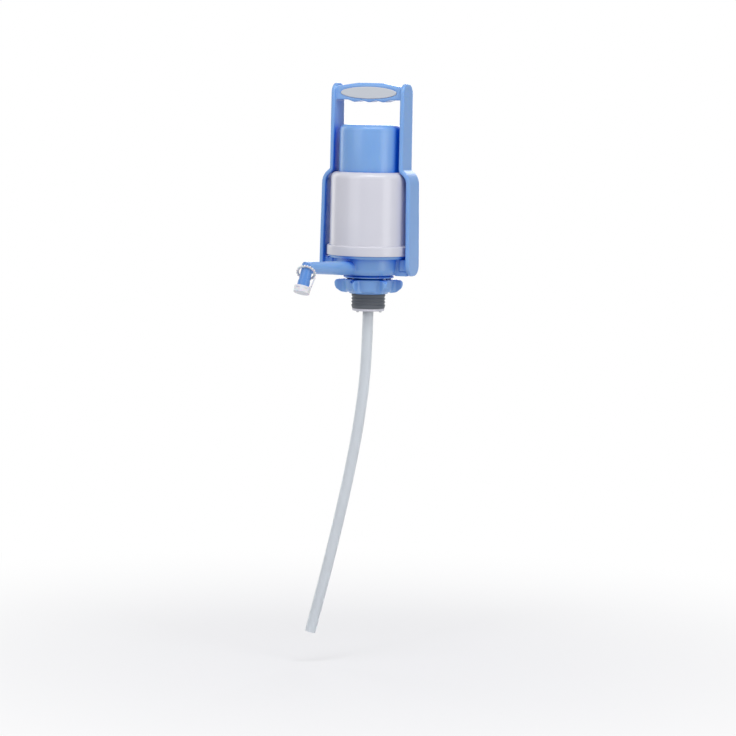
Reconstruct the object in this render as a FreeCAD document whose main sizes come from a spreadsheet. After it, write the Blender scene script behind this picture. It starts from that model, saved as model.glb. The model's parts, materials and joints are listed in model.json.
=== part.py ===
import FreeCAD, Part
import math
import os

import Sketcher
from FreeCAD import Placement, Rotation, Vector

# Hand pump for a water jug.
# The pump stands upright on the jug's mouth: the origin is the centre of the mouth's rim, +Z is up.
# All sizes are millimetres and degrees.

SIZES = [
    # the jug's mouth, the rubber bung in it and the winged collar that locks it
    ("mouth_radius", 22.5, "bore of the jug's mouth"),
    ("mouth_gap", 0.6, "slack of the bung in the mouth before it is squeezed"),
    ("bung_height", 19.0, "rubber bung, rim to lower end"),
    ("bung_lead", 3.0, "height of the bung's tapered end"),
    ("bung_taper", 1.0, "how much the tapered end draws in"),
    ("spigot_radius", 19.0, "outside of the base's threaded spigot"),
    ("spigot_wall", 4.0, "wall of the spigot"),
    ("retainer_thick", 3.0, "washer that carries the bung"),
    ("retainer_inset", 0.9, "retainer's edge inside the bung's wall"),
    ("retainer_screw_radius", 1.1, "shank of the retainer's screws"),
    ("retainer_screw_length", 9.0, "length of the retainer's screws under the head"),
    ("run_gap", 0.3, "clearance between pieces that move"),
    ("slip_thick", 1.6, "slip ring under the collar"),
    ("slip_width", 3.0, "slip ring, bore to edge"),
    ("slip_ridge", 0.6, "height of the slip ring's snap ridge"),
    ("collar_top", 19.4, "top of the locking collar"),
    ("collar_radius", 33.2, "collar's body at the top"),
    ("collar_low_radius", 31.6, "collar's body at its lower edge"),
    ("collar_round", 4.0, "rounding of the collar's lower edge"),
    ("collar_wall", 2.6, "walls of the collar"),
    ("skirt_radius", 25.2, "collar's foot on the rim of the mouth"),
    ("skirt_height", 2.8, "height of the collar's foot"),
    ("wing_reach", 44.6, "tips of the collar's wings from the axis"),
    ("wing_thick", 7.0, "thickness of a wing"),
    ("wing_round", 12.2, "rounding under a wing"),
    ("wing_corner", 2.4, "rounding of a wing's upper tip"),
    ("wing_tip", 2.6, "rounding of a wing's tip, seen from above"),
    ("wing_blend", 5.0, "flare where a wing meets the collar's body"),
    ("wing_count", 6, "number of wings"),
    ("wing_angle", 23.0, "turn of the first wing from +X"),
    # the base
    ("ring_gap", 1.6, "gap over the collar"),
    ("ring_radius", 32.8, "shoulder ring over the collar"),
    ("ring_height", 2.4, "height of the shoulder ring"),
    ("neck_height", 1.5, "groove between shoulder ring and base"),
    ("neck_inset", 3.4, "depth of that groove"),
    ("base_height", 22.0, "body of the base"),
    ("base_radius", 43.4, "body of the base at the top"),
    ("base_draft", 1.0, "draft of the base's body"),
    ("base_round", 8.5, "rounding of the base's lower edge"),
    ("base_wall", 3.0, "walls of the base"),
    ("rim_height", 3.7, "flared rim under the barrel"),
    ("rim_low_radius", 51.0, "rim's lower edge"),
    ("rim_radius", 53.5, "rim's upper edge"),
    ("deck_rise", 8.2, "deck over the rim, inside the barrel"),
    ("deck_thick", 3.2, "thickness of the deck"),
    ("deck_gap", 0.35, "gap between deck edge and barrel"),
    ("deck_edge", 4.4, "wall under the deck's edge"),
    ("seal_height", 2.4, "square ring seals, along the axis"),
    ("seal_depth", 2.0, "depth of the barrel seal's groove"),
    ("spring_seat_height", 4.0, "ring on the deck that centres the spring"),
    ("spring_seat_wall", 1.6, "wall of that ring"),
    # water way
    ("duct_radius", 9.5, "upright water duct in the base"),
    ("duct_drop", 4.0, "duct's lower end under the rim of the mouth"),
    ("water_bore", 5.0, "radius of the water way"),
    ("barb_radius", 6.0, "hose barb in the duct's socket"),
    ("barb_bore", 3.6, "bore of the hose barb"),
    ("barb_depth", 16.0, "depth of that socket"),
    ("barb_collar", 1.6, "thickness of the barb's collar"),
    ("barb_length", 24.0, "barbed end inside the hose"),
    ("barb_pitch", 6.0, "distance between barbs"),
    ("barb_rise", 0.45, "height of a barb"),
    ("barb_seal_section", 1.3, "seal ring on the barb"),
    ("hose_radius", 7.0, "dip hose outside"),
    ("hose_bore", 5.0, "dip hose inside"),
    ("hose_turn", 203.0, "direction in which the dip hose bends away"),
    # spout
    ("spout_turn", 257.5, "direction of the spout about the axis"),
    ("spout_rise", 2.7, "slope of the spout"),
    ("spout_level", 32.6, "height of the spout's line on the pump's axis"),
    ("spout_proud", 0.2, "mouth of the spout's socket past the base's side"),
    ("spout_socket_depth", 13.0, "depth of the socket"),
    ("spout_plug_radius", 7.0, "end of the spout in the socket"),
    ("spout_boss_wall", 1.8, "wall of the socket"),
    ("spout_root_radius", 9.3, "spout at the base"),
    ("spout_tip_radius", 7.2, "spout at the elbow"),
    ("spout_reach", 133.5, "elbow from the axis"),
    ("spout_seal_section", 1.2, "seal ring in the socket"),
    # nozzle, its cap and tether
    ("nozzle_tilt", 21.0, "lean of the nozzle from upright"),
    ("nozzle_radius", 7.1, "nozzle outside"),
    ("nozzle_bore", 4.4, "nozzle inside"),
    ("nozzle_length", 31.6, "nozzle from the elbow's centre"),
    ("nozzle_band", 17.0, "start of the nozzle's thicker end"),
    ("nozzle_band_radius", 7.7, "nozzle's thicker end"),
    ("nozzle_bead_radius", 8.3, "bead at the nozzle's mouth"),
    ("nozzle_bead", 2.6, "height of the bead"),
    ("nozzle_plug", 10.0, "nozzle's plug in the spout's end"),
    ("nozzle_plug_bore", 3.4, "bore of that plug"),
    ("cap_cover", 6.6, "length of nozzle inside the dust cap"),
    ("cap_skin", 2.0, "dust cap's wall"),
    ("cap_floor", 1.8, "dust cap's floor"),
    ("cap_flat", 0.7, "depth of the dust cap's thumb flats"),
    ("cap_flats", 6, "number of thumb flats"),
    ("ring_place", 6.5, "tether ring's centre from the elbow's centre"),
    ("ring_thick", 1.8, "tether ring's thickness"),
    ("ring_tilt", 34.0, "lean of the tether ring on the nozzle"),
    ("ring_side", 35.5, "direction of the ring's high side, from the spout's"),
    ("ring_width", 2.4, "tether ring, bore to root of its beads"),
    ("bead_radius", 1.15, "beads round the tether ring"),
    ("bead_count", 22, "number of beads"),
    ("strap_side", 128.0, "direction of the tether strap, from the spout's"),
    ("strap_drop", 2.9, "upper end of the strap under the ring's centre"),
    ("strap_width", 4.0, "tether strap"),
    ("strap_thick", 1.2, "tether strap between its teeth"),
    ("strap_tooth", 0.6, "height of the strap's teeth"),
    ("strap_pitch", 2.4, "distance between the strap's teeth"),
    # barrel
    ("barrel_radius", 51.75, "barrel outside, at the foot ring"),
    ("barrel_draft", 0.5, "draft of the barrel's wall"),
    ("barrel_wall", 3.2, "barrel's wall"),
    ("barrel_height", 107.2, "barrel, rim of the base to its top"),
    ("barrel_round", 8.4, "rounding of the barrel's top"),
    ("lip_thick", 8.0, "lip of the barrel over the guide ring"),
    ("foot_radius", 55.0, "barrel's foot ring"),
    ("foot_height", 12.4, "height of the foot ring"),
    ("foot_round", 1.4, "rounding of the foot ring"),
    ("guide_height", 5.0, "guide ring in the barrel's mouth"),
    ("guide_notches", 6, "air notches in the guide ring"),
    # push cap, piston and spring
    ("fit_gap", 0.06, "radial clearance of sliding fits"),
    ("cap_radius", 41.3, "push cap"),
    ("cap_rise", 60.4, "push cap over the barrel when up"),
    ("cap_round", 6.0, "rounding of the push cap's top"),
    ("cap_wall", 2.6, "push cap's wall"),
    ("cap_crown", 0.8, "crown of the push cap's top"),
    ("lip_gap", 0.9, "gap round the push cap at the barrel's lip"),
    ("piston_thick", 6.0, "piston's plate"),
    ("piston_gap", 0.5, "gap round the piston"),
    ("piston_seal_depth", 3.0, "depth of the piston seal's groove"),
    ("well_height", 25.0, "spring well over the piston's plate"),
    ("well_wall", 2.2, "wall of the spring well"),
    ("boss_radius", 3.6, "screw bosses in the push cap"),
    ("boss_height", 17.0, "height of those bosses"),
    ("boss_count", 4, "number of bosses"),
    ("piston_screw_radius", 1.5, "shank of the piston's screws"),
    ("piston_screw_grip", 9.0, "length of the piston's screws in the bosses"),
    ("spring_radius", 24.0, "spring, middle of the wire"),
    ("spring_wire", 2.2, "spring's wire"),
    ("spring_turns", 8, "turns of the spring"),
    ("well_gap", 1.2, "gap round the spring in its well"),
    # valves
    ("valve_radius", 7.0, "valve discs"),
    ("valve_disc", 1.2, "thickness of a valve disc"),
    ("valve_stem", 1.5, "radius of a valve's stem"),
    ("valve_bulb", 2.3, "radius of a valve's bulb"),
    ("valve_offset", 30.0, "check valve from the axis"),
    ("air_hole", 1.4, "radius of the air holes"),
    ("air_circle", 4.4, "circle of the air holes round a valve"),
    ("air_holes", 5, "air holes of a valve"),
    # handle frame
    ("arm_depth", 37.0, "straps of the handle frame at their feet, front to back"),
    ("arm_taper", 4.6, "how much narrower the straps are at their tops"),
    ("arm_lean", 1.8, "how far the straps lean in beside the barrel"),
    ("arm_round_low", 15.0, "rounding of the straps' lower ends"),
    ("arm_round_high", 13.0, "rounding of the straps' upper ends"),
    ("arm_thick", 5.6, "thickness of the straps"),
    ("arm_low", 63.2, "outer face of the straps at their feet"),
    ("arm_high", 50.8, "outer face of the straps beside the push cap"),
    ("arm_height", 246.5, "straps, end to end"),
    ("jog_low", 152.7, "corner where the straps turn in"),
    ("jog_high", 161.3, "corner where they turn up again"),
    ("jog_round", 20.0, "rounding of the lower corner"),
    ("kink_round", 2.0, "rounding of the upper corner"),
    ("arm_edge", 1.8, "rounding along the straps' edges"),
    ("bar_depth", 24.0, "grip bar, front to back"),
    ("bar_drop", 5.0, "grip bar's ends under the straps' tops"),
    ("bar_tall", 16.4, "height of the grip bar at its ends"),
    ("bar_bow", 5.2, "rise of the grip bar's middle over its ends"),
    ("bar_round_top", 4.5, "rounding of the bar's upper edges"),
    ("bar_round_low", 4.0, "rounding of the bar's lower edges"),
    ("finger_pitch", 20.0, "distance between the finger ridges"),
    ("finger_ridge", 3.2, "height of the finger ridges"),
    ("finger_round", 6.0, "rounding of the finger ridges"),
    ("pad_length", 78.0, "grip pad's length"),
    ("pad_height", 15.6, "grip pad's height"),
    ("pad_drop", 12.2, "grip pads' centres under the straps' tops"),
    ("pad_sunk", 1.4, "depth of the pad's recess"),
    ("pad_proud", 0.7, "how far the pads stand out"),
    ("foot_width", 22.0, "feet of the handle frame, front to back"),
    ("foot_flare", 4.0, "how much a foot widens towards its strap"),
    ("foot_groove", 1.6, "depth of the upright groove in a foot"),
    ("lug_thick", 6.0, "lugs of the base under the feet"),
    ("lug_width", 20.0, "lugs, front to back"),
    ("lug_face", 46.4, "flat on the base that the feet meet"),
    ("foot_screw_radius", 1.9, "shank of the handle's screws"),
    ("foot_screw_head", 3.4, "radius of their heads"),
    ("foot_screw_reach", 52.4, "handle's screws from the axis"),
    ("foot_screw_spread", 10.0, "distance between two screws of a foot"),
    ("foot_screw_length", 14.0, "handle's screws under the head"),
    ("screw_head_height", 1.8, "height of all screw heads"),
]


class Size:
    """A length as a number together with the sheet formula that gives it."""

    def __init__(self, value, formula=None):
        self.value = float(value)
        self.formula = formula if formula else "(%r)" % float(value)

    def joined(self, sign, value, other):
        return Size(value, "(%s %s %s)" % (self.formula, sign, as_size(other).formula))

    def __add__(self, other):
        return self.joined("+", self.value + as_size(other).value, other)

    def __sub__(self, other):
        return self.joined("-", self.value - as_size(other).value, other)

    def __mul__(self, other):
        return self.joined("*", self.value * as_size(other).value, other)

    def __truediv__(self, other):
        return self.joined("/", self.value / as_size(other).value, other)

    def __radd__(self, other):
        return as_size(other) + self

    def __rsub__(self, other):
        return as_size(other) - self

    def __rmul__(self, other):
        return as_size(other) * self

    def __neg__(self):
        return Size(0.0) - self

    def __float__(self):
        return self.value


def as_size(x):
    return x if isinstance(x, Size) else Size(x)


def root(x):
    return Size(math.sqrt(x.value), "sqrt(%s)" % x.formula)


class Dims:
    """The sheet's sizes by name."""


doc = FreeCAD.newDocument("jug_pump")
sheet = doc.addObject("Spreadsheet::Sheet", "dims")
d = Dims()
for row, (word, number, note) in enumerate(SIZES, 1):
    sheet.set("A%d" % row, word)
    sheet.set("B%d" % row, str(number))
    sheet.set("C%d" % row, note)
    sheet.setAlias("B%d" % row, word)
    setattr(d, word, Size(number, "dims." + word))
doc.recompute()


# Sketches

def plane(body, role):
    return [f for f in body.Origin.OriginFeatures if f.Role == role][0]


def new_sketch(body, name, role="XZ_Plane", place=None):
    """A sketch on one of the body's own planes. XZ sketches have X across and Z up."""
    sketch = body.newObject("Sketcher::SketchObject", name)
    sketch.AttachmentSupport = [(plane(body, role), "")]
    sketch.MapMode = "FlatFace"
    if place is not None:
        sketch.AttachmentOffset = place
    return sketch


def pin_point(sketch, geo, pos, x, y):
    """Fixes a point of the sketch at (x, y), each bound to its formula."""
    for kind, size, axis in (("DistanceX", x, -2), ("DistanceY", y, -1)):
        size = as_size(size)
        if abs(size.value) < 1e-9:
            sketch.addConstraint(Sketcher.Constraint("PointOnObject", geo, pos, axis))
            continue
        at = sketch.addConstraint(Sketcher.Constraint(kind, geo, pos, size.value))
        sketch.setExpression("Constraints[%d]" % at, size.formula)


def set_radius(sketch, geo, radius):
    radius = as_size(radius)
    at = sketch.addConstraint(Sketcher.Constraint("Radius", geo, radius.value))
    sketch.setExpression("Constraints[%d]" % at, radius.formula)


def draw_circle(sketch, x, y, radius):
    geo = sketch.addGeometry(
        Part.Circle(Vector(float(as_size(x)), float(as_size(y)), 0), Vector(0, 0, 1), float(as_size(radius)))
    )
    pin_point(sketch, geo, 3, x, y)
    set_radius(sketch, geo, radius)


def draw_outline(sketch, corners):
    """A closed outline through corners (x, y) or (x, y, rounding)."""
    n = len(corners)
    points = [Vector(float(as_size(c[0])), float(as_size(c[1])), 0) for c in corners]
    rounding = [as_size(c[2]) if len(c) > 2 else None for c in corners]
    starts, ends = list(points), list(points)
    for i, r in enumerate(rounding):
        if r is None:
            continue
        back = (points[i - 1] - points[i]).normalize()
        ahead = (points[(i + 1) % n] - points[i]).normalize()
        run = r.value / math.tan(back.getAngle(ahead) / 2)
        ends[i] = points[i] + back * run
        starts[i] = points[i] + ahead * run
    lines = [
        sketch.addGeometry(Part.LineSegment(starts[i], ends[(i + 1) % n])) for i in range(n)
    ]
    for i, r in enumerate(rounding):
        before, after = lines[i - 1], lines[i]
        if r is None:
            sketch.addConstraint(Sketcher.Constraint("Coincident", before, 2, after, 1))
            pin_point(sketch, after, 1, corners[i][0], corners[i][1])
            continue
        back = (ends[i] - points[i]).normalize()
        ahead = (starts[i] - points[i]).normalize()
        half = back.getAngle(ahead) / 2
        centre = points[i] + (back + ahead).normalize() * (r.value / math.sin(half))
        left_turn = back.cross(ahead).z < 0
        first, last = (ends[i], starts[i]) if left_turn else (starts[i], ends[i])
        angle = lambda p: math.atan2(p.y - centre.y, p.x - centre.x)
        circle = Part.Circle(centre, Vector(0, 0, 1), r.value)
        arc = sketch.addGeometry(Part.ArcOfCircle(circle, angle(first), angle(last)))
        corner = sketch.addGeometry(Part.Point(points[i]), True)
        near, far = (1, 2) if left_turn else (2, 1)
        sketch.addConstraint(Sketcher.Constraint("Tangent", before, 2, arc, near))
        sketch.addConstraint(Sketcher.Constraint("Tangent", arc, far, after, 1))
        sketch.addConstraint(Sketcher.Constraint("PointOnObject", corner, 1, before))
        sketch.addConstraint(Sketcher.Constraint("PointOnObject", corner, 1, after))
        pin_point(sketch, corner, 1, corners[i][0], corners[i][1])
        set_radius(sketch, arc, r)


# Features

def new_body(label, place=None):
    body = doc.addObject("PartDesign::Body", label)
    body.Label = label
    if place is not None:
        body.Placement = place
    return body


def turn_feature(body, kind, corners, place=None):
    """A revolution or groove of an XZ outline about the sketch's upright axis."""
    sketch = new_sketch(body, "outline", place=place)
    draw_outline(sketch, corners)
    feature = body.newObject("PartDesign::" + kind, kind.lower())
    feature.Profile = sketch
    feature.ReferenceAxis = (sketch, ["V_Axis"])
    feature.Angle = 360
    return feature


def turned(label, corners, place=None):
    body = new_body(label, place)
    turn_feature(body, "Revolution", corners)
    return body


def line_feature(body, kind, sketch, length, midplane=False, reverse=False):
    feature = body.newObject("PartDesign::" + kind, kind.lower())
    feature.Profile = sketch
    feature.Length = float(as_size(length))
    feature.setExpression("Length", as_size(length).formula)
    feature.Midplane = midplane
    feature.Reversed = reverse
    return feature


def cylinder_feature(body, kind, place, radius, length, x=0, y=0, reverse=None):
    """A round pad, or a round pocket that runs the same way: along the place's own Z."""
    sketch = new_sketch(body, "round", "XY_Plane", place)
    draw_circle(sketch, x, y, radius)
    along = (kind == "Pocket") if reverse is None else reverse
    return line_feature(body, kind, sketch, length, reverse=along)


def repeat(body, feature, count):
    """A polar pattern of one feature about the body's upright axis."""
    pattern = body.newObject("PartDesign::PolarPattern", "pattern")
    pattern.Originals = [feature]
    pattern.Axis = (plane(body, "Z_Axis"), [""])
    pattern.Angle = 360
    pattern.Occurrences = int(count.value)
    pattern.setExpression("Occurrences", count.formula)
    body.Tip = pattern
    return pattern


def at(x=0, y=0, z=0, turn=None):
    spot = Vector(float(as_size(x)), float(as_size(y)), float(as_size(z)))
    return Placement(spot, turn if turn is not None else Rotation())


def about(axis, degrees):
    return Rotation(Vector(*axis), float(as_size(degrees)))


def lift(sketch, height):
    """Binds an XY sketch's height to its formula."""
    sketch.AttachmentOffset = at(z=height)
    sketch.setExpression("AttachmentOffset.Base.z", as_size(height).formula)
    return sketch


# Levels and radii that several pieces share

bung_radius = d.mouth_radius - d.mouth_gap
spigot_bore = d.spigot_radius - d.spigot_wall
retainer_radius = bung_radius - d.retainer_inset
ring_low = d.collar_top + d.ring_gap
ring_high = ring_low + d.ring_height
base_low = ring_high + d.neck_height
base_high = base_low + d.base_height
rim_high = base_high + d.rim_height
deck_high = rim_high + d.deck_rise
deck_low = deck_high - d.deck_thick
bore_radius = d.barrel_radius - d.barrel_wall
barrel_top = rim_high + d.barrel_height
deck_radius = bore_radius - d.deck_gap
deck_inner = deck_radius - d.deck_edge
seal_low = rim_high + 2.0
guide_top = barrel_top - d.lip_thick
guide_low = guide_top - d.guide_height
piston_top = guide_low - d.run_gap
piston_low = piston_top - d.piston_thick
piston_radius = bore_radius - d.piston_gap
cap_top = barrel_top + d.cap_rise
cap_inner = d.cap_radius - d.cap_wall
well_inner = d.spring_radius + d.spring_wire / 2 + d.well_gap
well_outer = well_inner + d.well_wall
well_roof = piston_top + d.well_height
boss_circle = cap_inner - d.boss_radius + 0.8
arm_bottom = base_low
arm_top = arm_bottom + d.arm_height
arm_low_inner = d.arm_low - d.arm_thick
arm_high_inner = d.arm_high - d.arm_thick
bar_end_top = arm_top - d.bar_drop
bar_mid_top = bar_end_top + d.bar_bow
bar_under = bar_end_top - d.bar_tall
pad_level = arm_top - d.pad_drop
foot_low = base_low + d.lug_thick
foot_high = base_high - d.run_gap

spout_socket = d.base_radius + d.spout_proud
spout_frame = at(turn=about((0, 0, 1), d.spout_turn))
spout_axis = spout_frame * at(z=d.spout_level, turn=about((0, 1, 0), 90 - d.spout_rise))
elbow_bend = 90 + d.spout_rise - d.nozzle_tilt
elbow = (spout_axis * at(z=d.spout_reach)).Base
nozzle_axis = Placement(elbow, (spout_frame * at(turn=about((0, 1, 0), -d.nozzle_tilt))).Rotation)


# Base, neck lock and seals

def make_base():
    corners = [
        (spigot_bore, -d.bung_height),
        (d.spigot_radius, -d.bung_height),
        (d.spigot_radius, ring_low),
        (d.ring_radius, ring_low, 0.7),
        (d.ring_radius, ring_high, 0.7),
        (d.ring_radius - d.neck_inset, ring_high),
        (d.ring_radius - d.neck_inset, base_low),
        (d.base_radius - d.base_draft, base_low, d.base_round),
        (d.base_radius, base_high),
        (d.rim_low_radius, base_high, 1.0),
        (d.rim_radius, rim_high),
        (deck_radius, rim_high),
        (deck_radius, seal_low),
        (deck_radius - d.seal_depth, seal_low),
        (deck_radius - d.seal_depth, seal_low + d.seal_height),
        (deck_radius, seal_low + d.seal_height),
        (deck_radius, deck_high, 0.8),
        (d.spring_radius - d.spring_wire / 2 - 0.6, deck_high),
        (d.spring_radius - d.spring_wire / 2 - 0.6, deck_high + d.spring_seat_height, 0.6),
        (
            d.spring_radius - d.spring_wire / 2 - 0.6 - d.spring_seat_wall,
            deck_high + d.spring_seat_height,
        ),
        (d.spring_radius - d.spring_wire / 2 - 0.6 - d.spring_seat_wall, deck_high),
        (0, deck_high),
        (0, deck_low),
        (deck_inner, deck_low),
        (deck_inner, base_high + d.base_wall),
        (d.base_radius - d.base_wall, base_high + d.base_wall),
        (
            d.base_radius - d.base_draft - d.base_wall,
            base_low + d.base_wall,
            d.base_round - d.base_wall,
        ),
        (spigot_bore, base_low + d.base_wall),
    ]
    body = turned("base", corners)
    duct = new_sketch(body, "duct", "XY_Plane")
    lift(duct, -d.duct_drop)
    draw_circle(duct, 0, 0, d.duct_radius)
    line_feature(body, "Pad", duct, deck_low + d.duct_drop + 0.5)
    along_spout = spout_axis
    boss_radius = d.spout_plug_radius + d.spout_boss_wall
    cylinder_feature(body, "Pad", along_spout, boss_radius, spout_socket)
    for side in (1, -1):
        lug = new_sketch(body, "lug", "XY_Plane")
        lift(lug, base_low)
        near, far = side * (d.base_radius - d.base_wall), side * (arm_low_inner - d.run_gap)
        half = d.lug_width / 2
        draw_outline(lug, [(near, -half), (far, -half), (far, half), (near, half)])
        line_feature(body, "Pad", lug, d.lug_thick)
        face = new_sketch(body, "flat", "XY_Plane")
        lift(face, foot_low - 1.0)
        out = side * d.lug_face
        draw_outline(face, [(near, -half), (out, -half), (out, half), (near, half)])
        line_feature(body, "Pad", face, base_high - foot_low + 1.0)
        for turn in (1, -1):
            spot = at(z=base_low)
            x, y = side * d.foot_screw_reach, turn * d.foot_screw_spread / 2
            cylinder_feature(
                body, "Pocket", spot, d.foot_screw_head + 0.2, d.screw_head_height + 0.4, x, y
            )
            cylinder_feature(body, "Pocket", spot, d.foot_screw_radius + 0.2, d.lug_thick, x, y)
    cylinder_feature(
        body, "Pocket", at(z=-d.duct_drop), d.barb_radius, d.barb_depth
    )
    water_top = d.spout_level + d.water_bore
    cylinder_feature(
        body, "Pocket", at(z=-d.duct_drop), d.water_bore, water_top + d.duct_drop
    )
    cylinder_feature(body, "Pocket", along_spout, d.water_bore, spout_socket)
    mouth = spout_axis * at(z=spout_socket - d.spout_socket_depth)
    cylinder_feature(body, "Pocket", mouth, d.spout_plug_radius, d.spout_socket_depth + 1)
    valve_seat(body, at(y=d.valve_offset, z=deck_low))
    screw = cylinder_feature(
        body,
        "Pocket",
        at(z=-d.bung_height),
        d.retainer_screw_radius,
        d.retainer_screw_length - d.retainer_thick + d.screw_head_height,
        d.spigot_radius - d.spigot_wall / 2,
    )
    repeat(body, screw, Size(3))
    return body


def valve_seat(body, place):
    """The stem hole and the ring of air holes of an umbrella valve, through a plate."""
    sketch = new_sketch(body, "valve_seat", "XY_Plane", place)
    draw_circle(sketch, 0, 0, d.valve_stem)
    count = int(d.air_holes.value)
    for i in range(count):
        angle = 2 * math.pi * i / count
        draw_circle(sketch, d.air_circle * math.cos(angle), d.air_circle * math.sin(angle), d.air_hole)
    return line_feature(body, "Pocket", sketch, d.deck_thick + 1, reverse=True)


def make_neck_lock():
    bung = turned(
        "neck_bung",
        [
            (d.spigot_radius, 0),
            (bung_radius, 0),
            (bung_radius, d.bung_lead - d.bung_height),
            (bung_radius - d.bung_taper, -d.bung_height),
            (d.spigot_radius, -d.bung_height),
        ],
    )
    retainer = turned(
        "bung_retainer",
        [
            (spigot_bore - 3, -d.bung_height),
            (retainer_radius, -d.bung_height),
            (retainer_radius, -d.bung_height - d.retainer_thick, 1.0),
            (spigot_bore - 3, -d.bung_height - d.retainer_thick),
        ],
    )
    middle = d.spigot_radius - d.spigot_wall / 2
    low = -d.bung_height - d.retainer_thick
    hole = cylinder_feature(
        retainer, "Pocket", at(z=low), d.retainer_screw_radius, d.retainer_thick, middle
    )
    repeat(retainer, hole, Size(3))
    screws = screw_body("retainer_screws", d.retainer_screw_radius, 2.0, d.retainer_screw_length)
    place_copies(screws, [(middle, 0, 0), (middle, 120, 0), (middle, 240, 0)], low)
    bore = d.spigot_radius + d.run_gap
    slip_low = d.run_gap
    slip_high = slip_low + d.slip_thick
    slip_edge = bore + d.slip_width
    turned(
        "slip_ring",
        [
            (bore, slip_low),
            (slip_edge, slip_low),
            (slip_edge + d.slip_ridge, (slip_low + slip_high) / 2),
            (slip_edge, slip_high),
            (bore, slip_high),
        ],
    )
    gap = d.run_gap
    collar = turned(
        "locking_collar",
        [
            (bore, slip_high + gap),
            (slip_edge + gap, slip_high + gap),
            (slip_edge + gap, slip_high),
            (slip_edge + gap + d.slip_ridge, (slip_low + slip_high) / 2),
            (slip_edge + gap, slip_low),
            (d.skirt_radius, slip_low),
            (d.skirt_radius, d.skirt_height),
            (d.collar_low_radius, d.skirt_height, d.collar_round),
            (d.collar_radius, d.collar_top, 1.0),
            (d.collar_radius - d.collar_wall, d.collar_top),
            (d.collar_low_radius - d.collar_wall, d.skirt_height + d.collar_wall * 2),
            (bore + d.collar_wall, d.skirt_height + d.collar_wall * 2),
            (bore + d.collar_wall, d.collar_top),
            (bore, d.collar_top),
        ],
    )
    low, top = d.skirt_height + 0.2, d.collar_top - 0.3
    wing = new_sketch(collar, "wing", "XY_Plane", at(z=low, turn=about((0, 0, 1), d.wing_angle)))
    wing.setExpression("AttachmentOffset.Base.z", low.formula)
    inner = d.collar_low_radius - d.collar_wall + 0.6
    flare, half = d.collar_radius + 1.0, d.wing_thick / 2
    draw_outline(
        wing,
        [
            (inner, -half - d.wing_blend),
            (flare, -half, d.wing_blend),
            (d.wing_reach, -half, d.wing_tip),
            (d.wing_reach, half, d.wing_tip),
            (flare, half, d.wing_blend),
            (inner, half + d.wing_blend),
        ],
    )
    pad = line_feature(collar, "Pad", wing, top - low)
    repeat(collar, pad, d.wing_count)
    beyond = d.wing_reach + 6
    turn_feature(
        collar,
        "Groove",
        [
            (inner, low),
            (d.wing_reach, low, d.wing_round),
            (d.wing_reach, top, d.wing_corner),
            (d.wing_reach - d.wing_corner * 2, top),
            (d.wing_reach - d.wing_corner * 2, top + 4),
            (beyond, top + 4),
            (beyond, low - 4),
            (inner, low - 4),
        ],
    )
    return collar


def screw_body(label, shank, head, length):
    """A pan head screw that points up, with its head's upper face at zero height."""
    body = new_body(label + "_one")
    turn_feature(
        body,
        "Revolution",
        [
            (0, -d.screw_head_height),
            (head, -d.screw_head_height, 0.6),
            (head, 0),
            (shank, 0),
            (shank, length - shank),
            (0, length),
        ],
    )
    return body


def place_copies(one, spots, z):
    """Puts copies of a screw at (radius, angle, cross shift) and groups them under the node's name."""
    doc.recompute()
    copies = []
    for reach, angle, shift in spots:
        shape = one.Shape.copy()
        turn = about((0, 0, 1), angle)
        spot = turn.multVec(Vector(float(as_size(reach)), float(as_size(shift)), 0))
        shape.Placement = Placement(spot + Vector(0, 0, float(z)), turn)
        copies.append(shape)
    group = doc.addObject("Part::Feature", one.Label.replace("_one", ""))
    group.Label = one.Label.replace("_one", "")
    group.Shape = Part.makeCompound(copies)
    return group


def make_seals():
    turned(
        "barrel_seal",
        [
            (deck_radius - d.seal_depth, seal_low),
            (bore_radius, seal_low),
            (bore_radius, seal_low + d.seal_height),
            (deck_radius - d.seal_depth, seal_low + d.seal_height),
        ],
    )
    seal_of_plug(
        "spout_seal",
        spout_axis * at(z=spout_socket - d.spout_socket_depth / 2),
        d.spout_plug_radius,
        d.spout_seal_section,
    )
    seal_of_plug(
        "barb_seal",
        at(z=d.barb_depth / 2 - d.duct_drop),
        d.barb_radius,
        d.barb_seal_section,
    )


def seal_of_plug(label, place, radius, section):
    half = d.seal_height / 2
    turned(
        label,
        [(radius - section, -half), (radius, -half), (radius, half), (radius - section, half)],
        place,
    )


def make_barb():
    """The hose barb: a plug with a seal groove, a collar and a row of barbs."""
    top = d.barb_depth - d.duct_drop
    middle = d.barb_depth / 2 - d.duct_drop
    half = d.seal_height / 2
    inner = d.barb_radius - d.barb_seal_section
    collar_low = -d.duct_drop - d.barb_collar
    corners = [
        (d.barb_bore, top),
        (d.barb_radius, top, 0.6),
        (d.barb_radius, middle + half),
        (inner, middle + half),
        (inner, middle - half),
        (d.barb_radius, middle - half),
        (d.barb_radius, -d.duct_drop),
        (d.duct_radius, -d.duct_drop),
        (d.duct_radius, collar_low),
        (d.hose_bore - d.barb_rise, collar_low),
    ]
    count = int((d.barb_length / d.barb_pitch).value) - 1
    for i in range(count):
        z = collar_low - d.barb_pitch * (i + 1)
        corners += [(d.hose_bore, z), (d.hose_bore - d.barb_rise, z - 0.01 - d.barb_pitch * 0.3)]
    corners += [
        (d.hose_bore - d.barb_rise, collar_low - d.barb_length + 1),
        (d.barb_bore + 0.4, collar_low - d.barb_length),
        (d.barb_bore, collar_low - d.barb_length),
    ]
    turned("hose_barb", corners)


# Spout, nozzle, dust cap and tether

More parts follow.
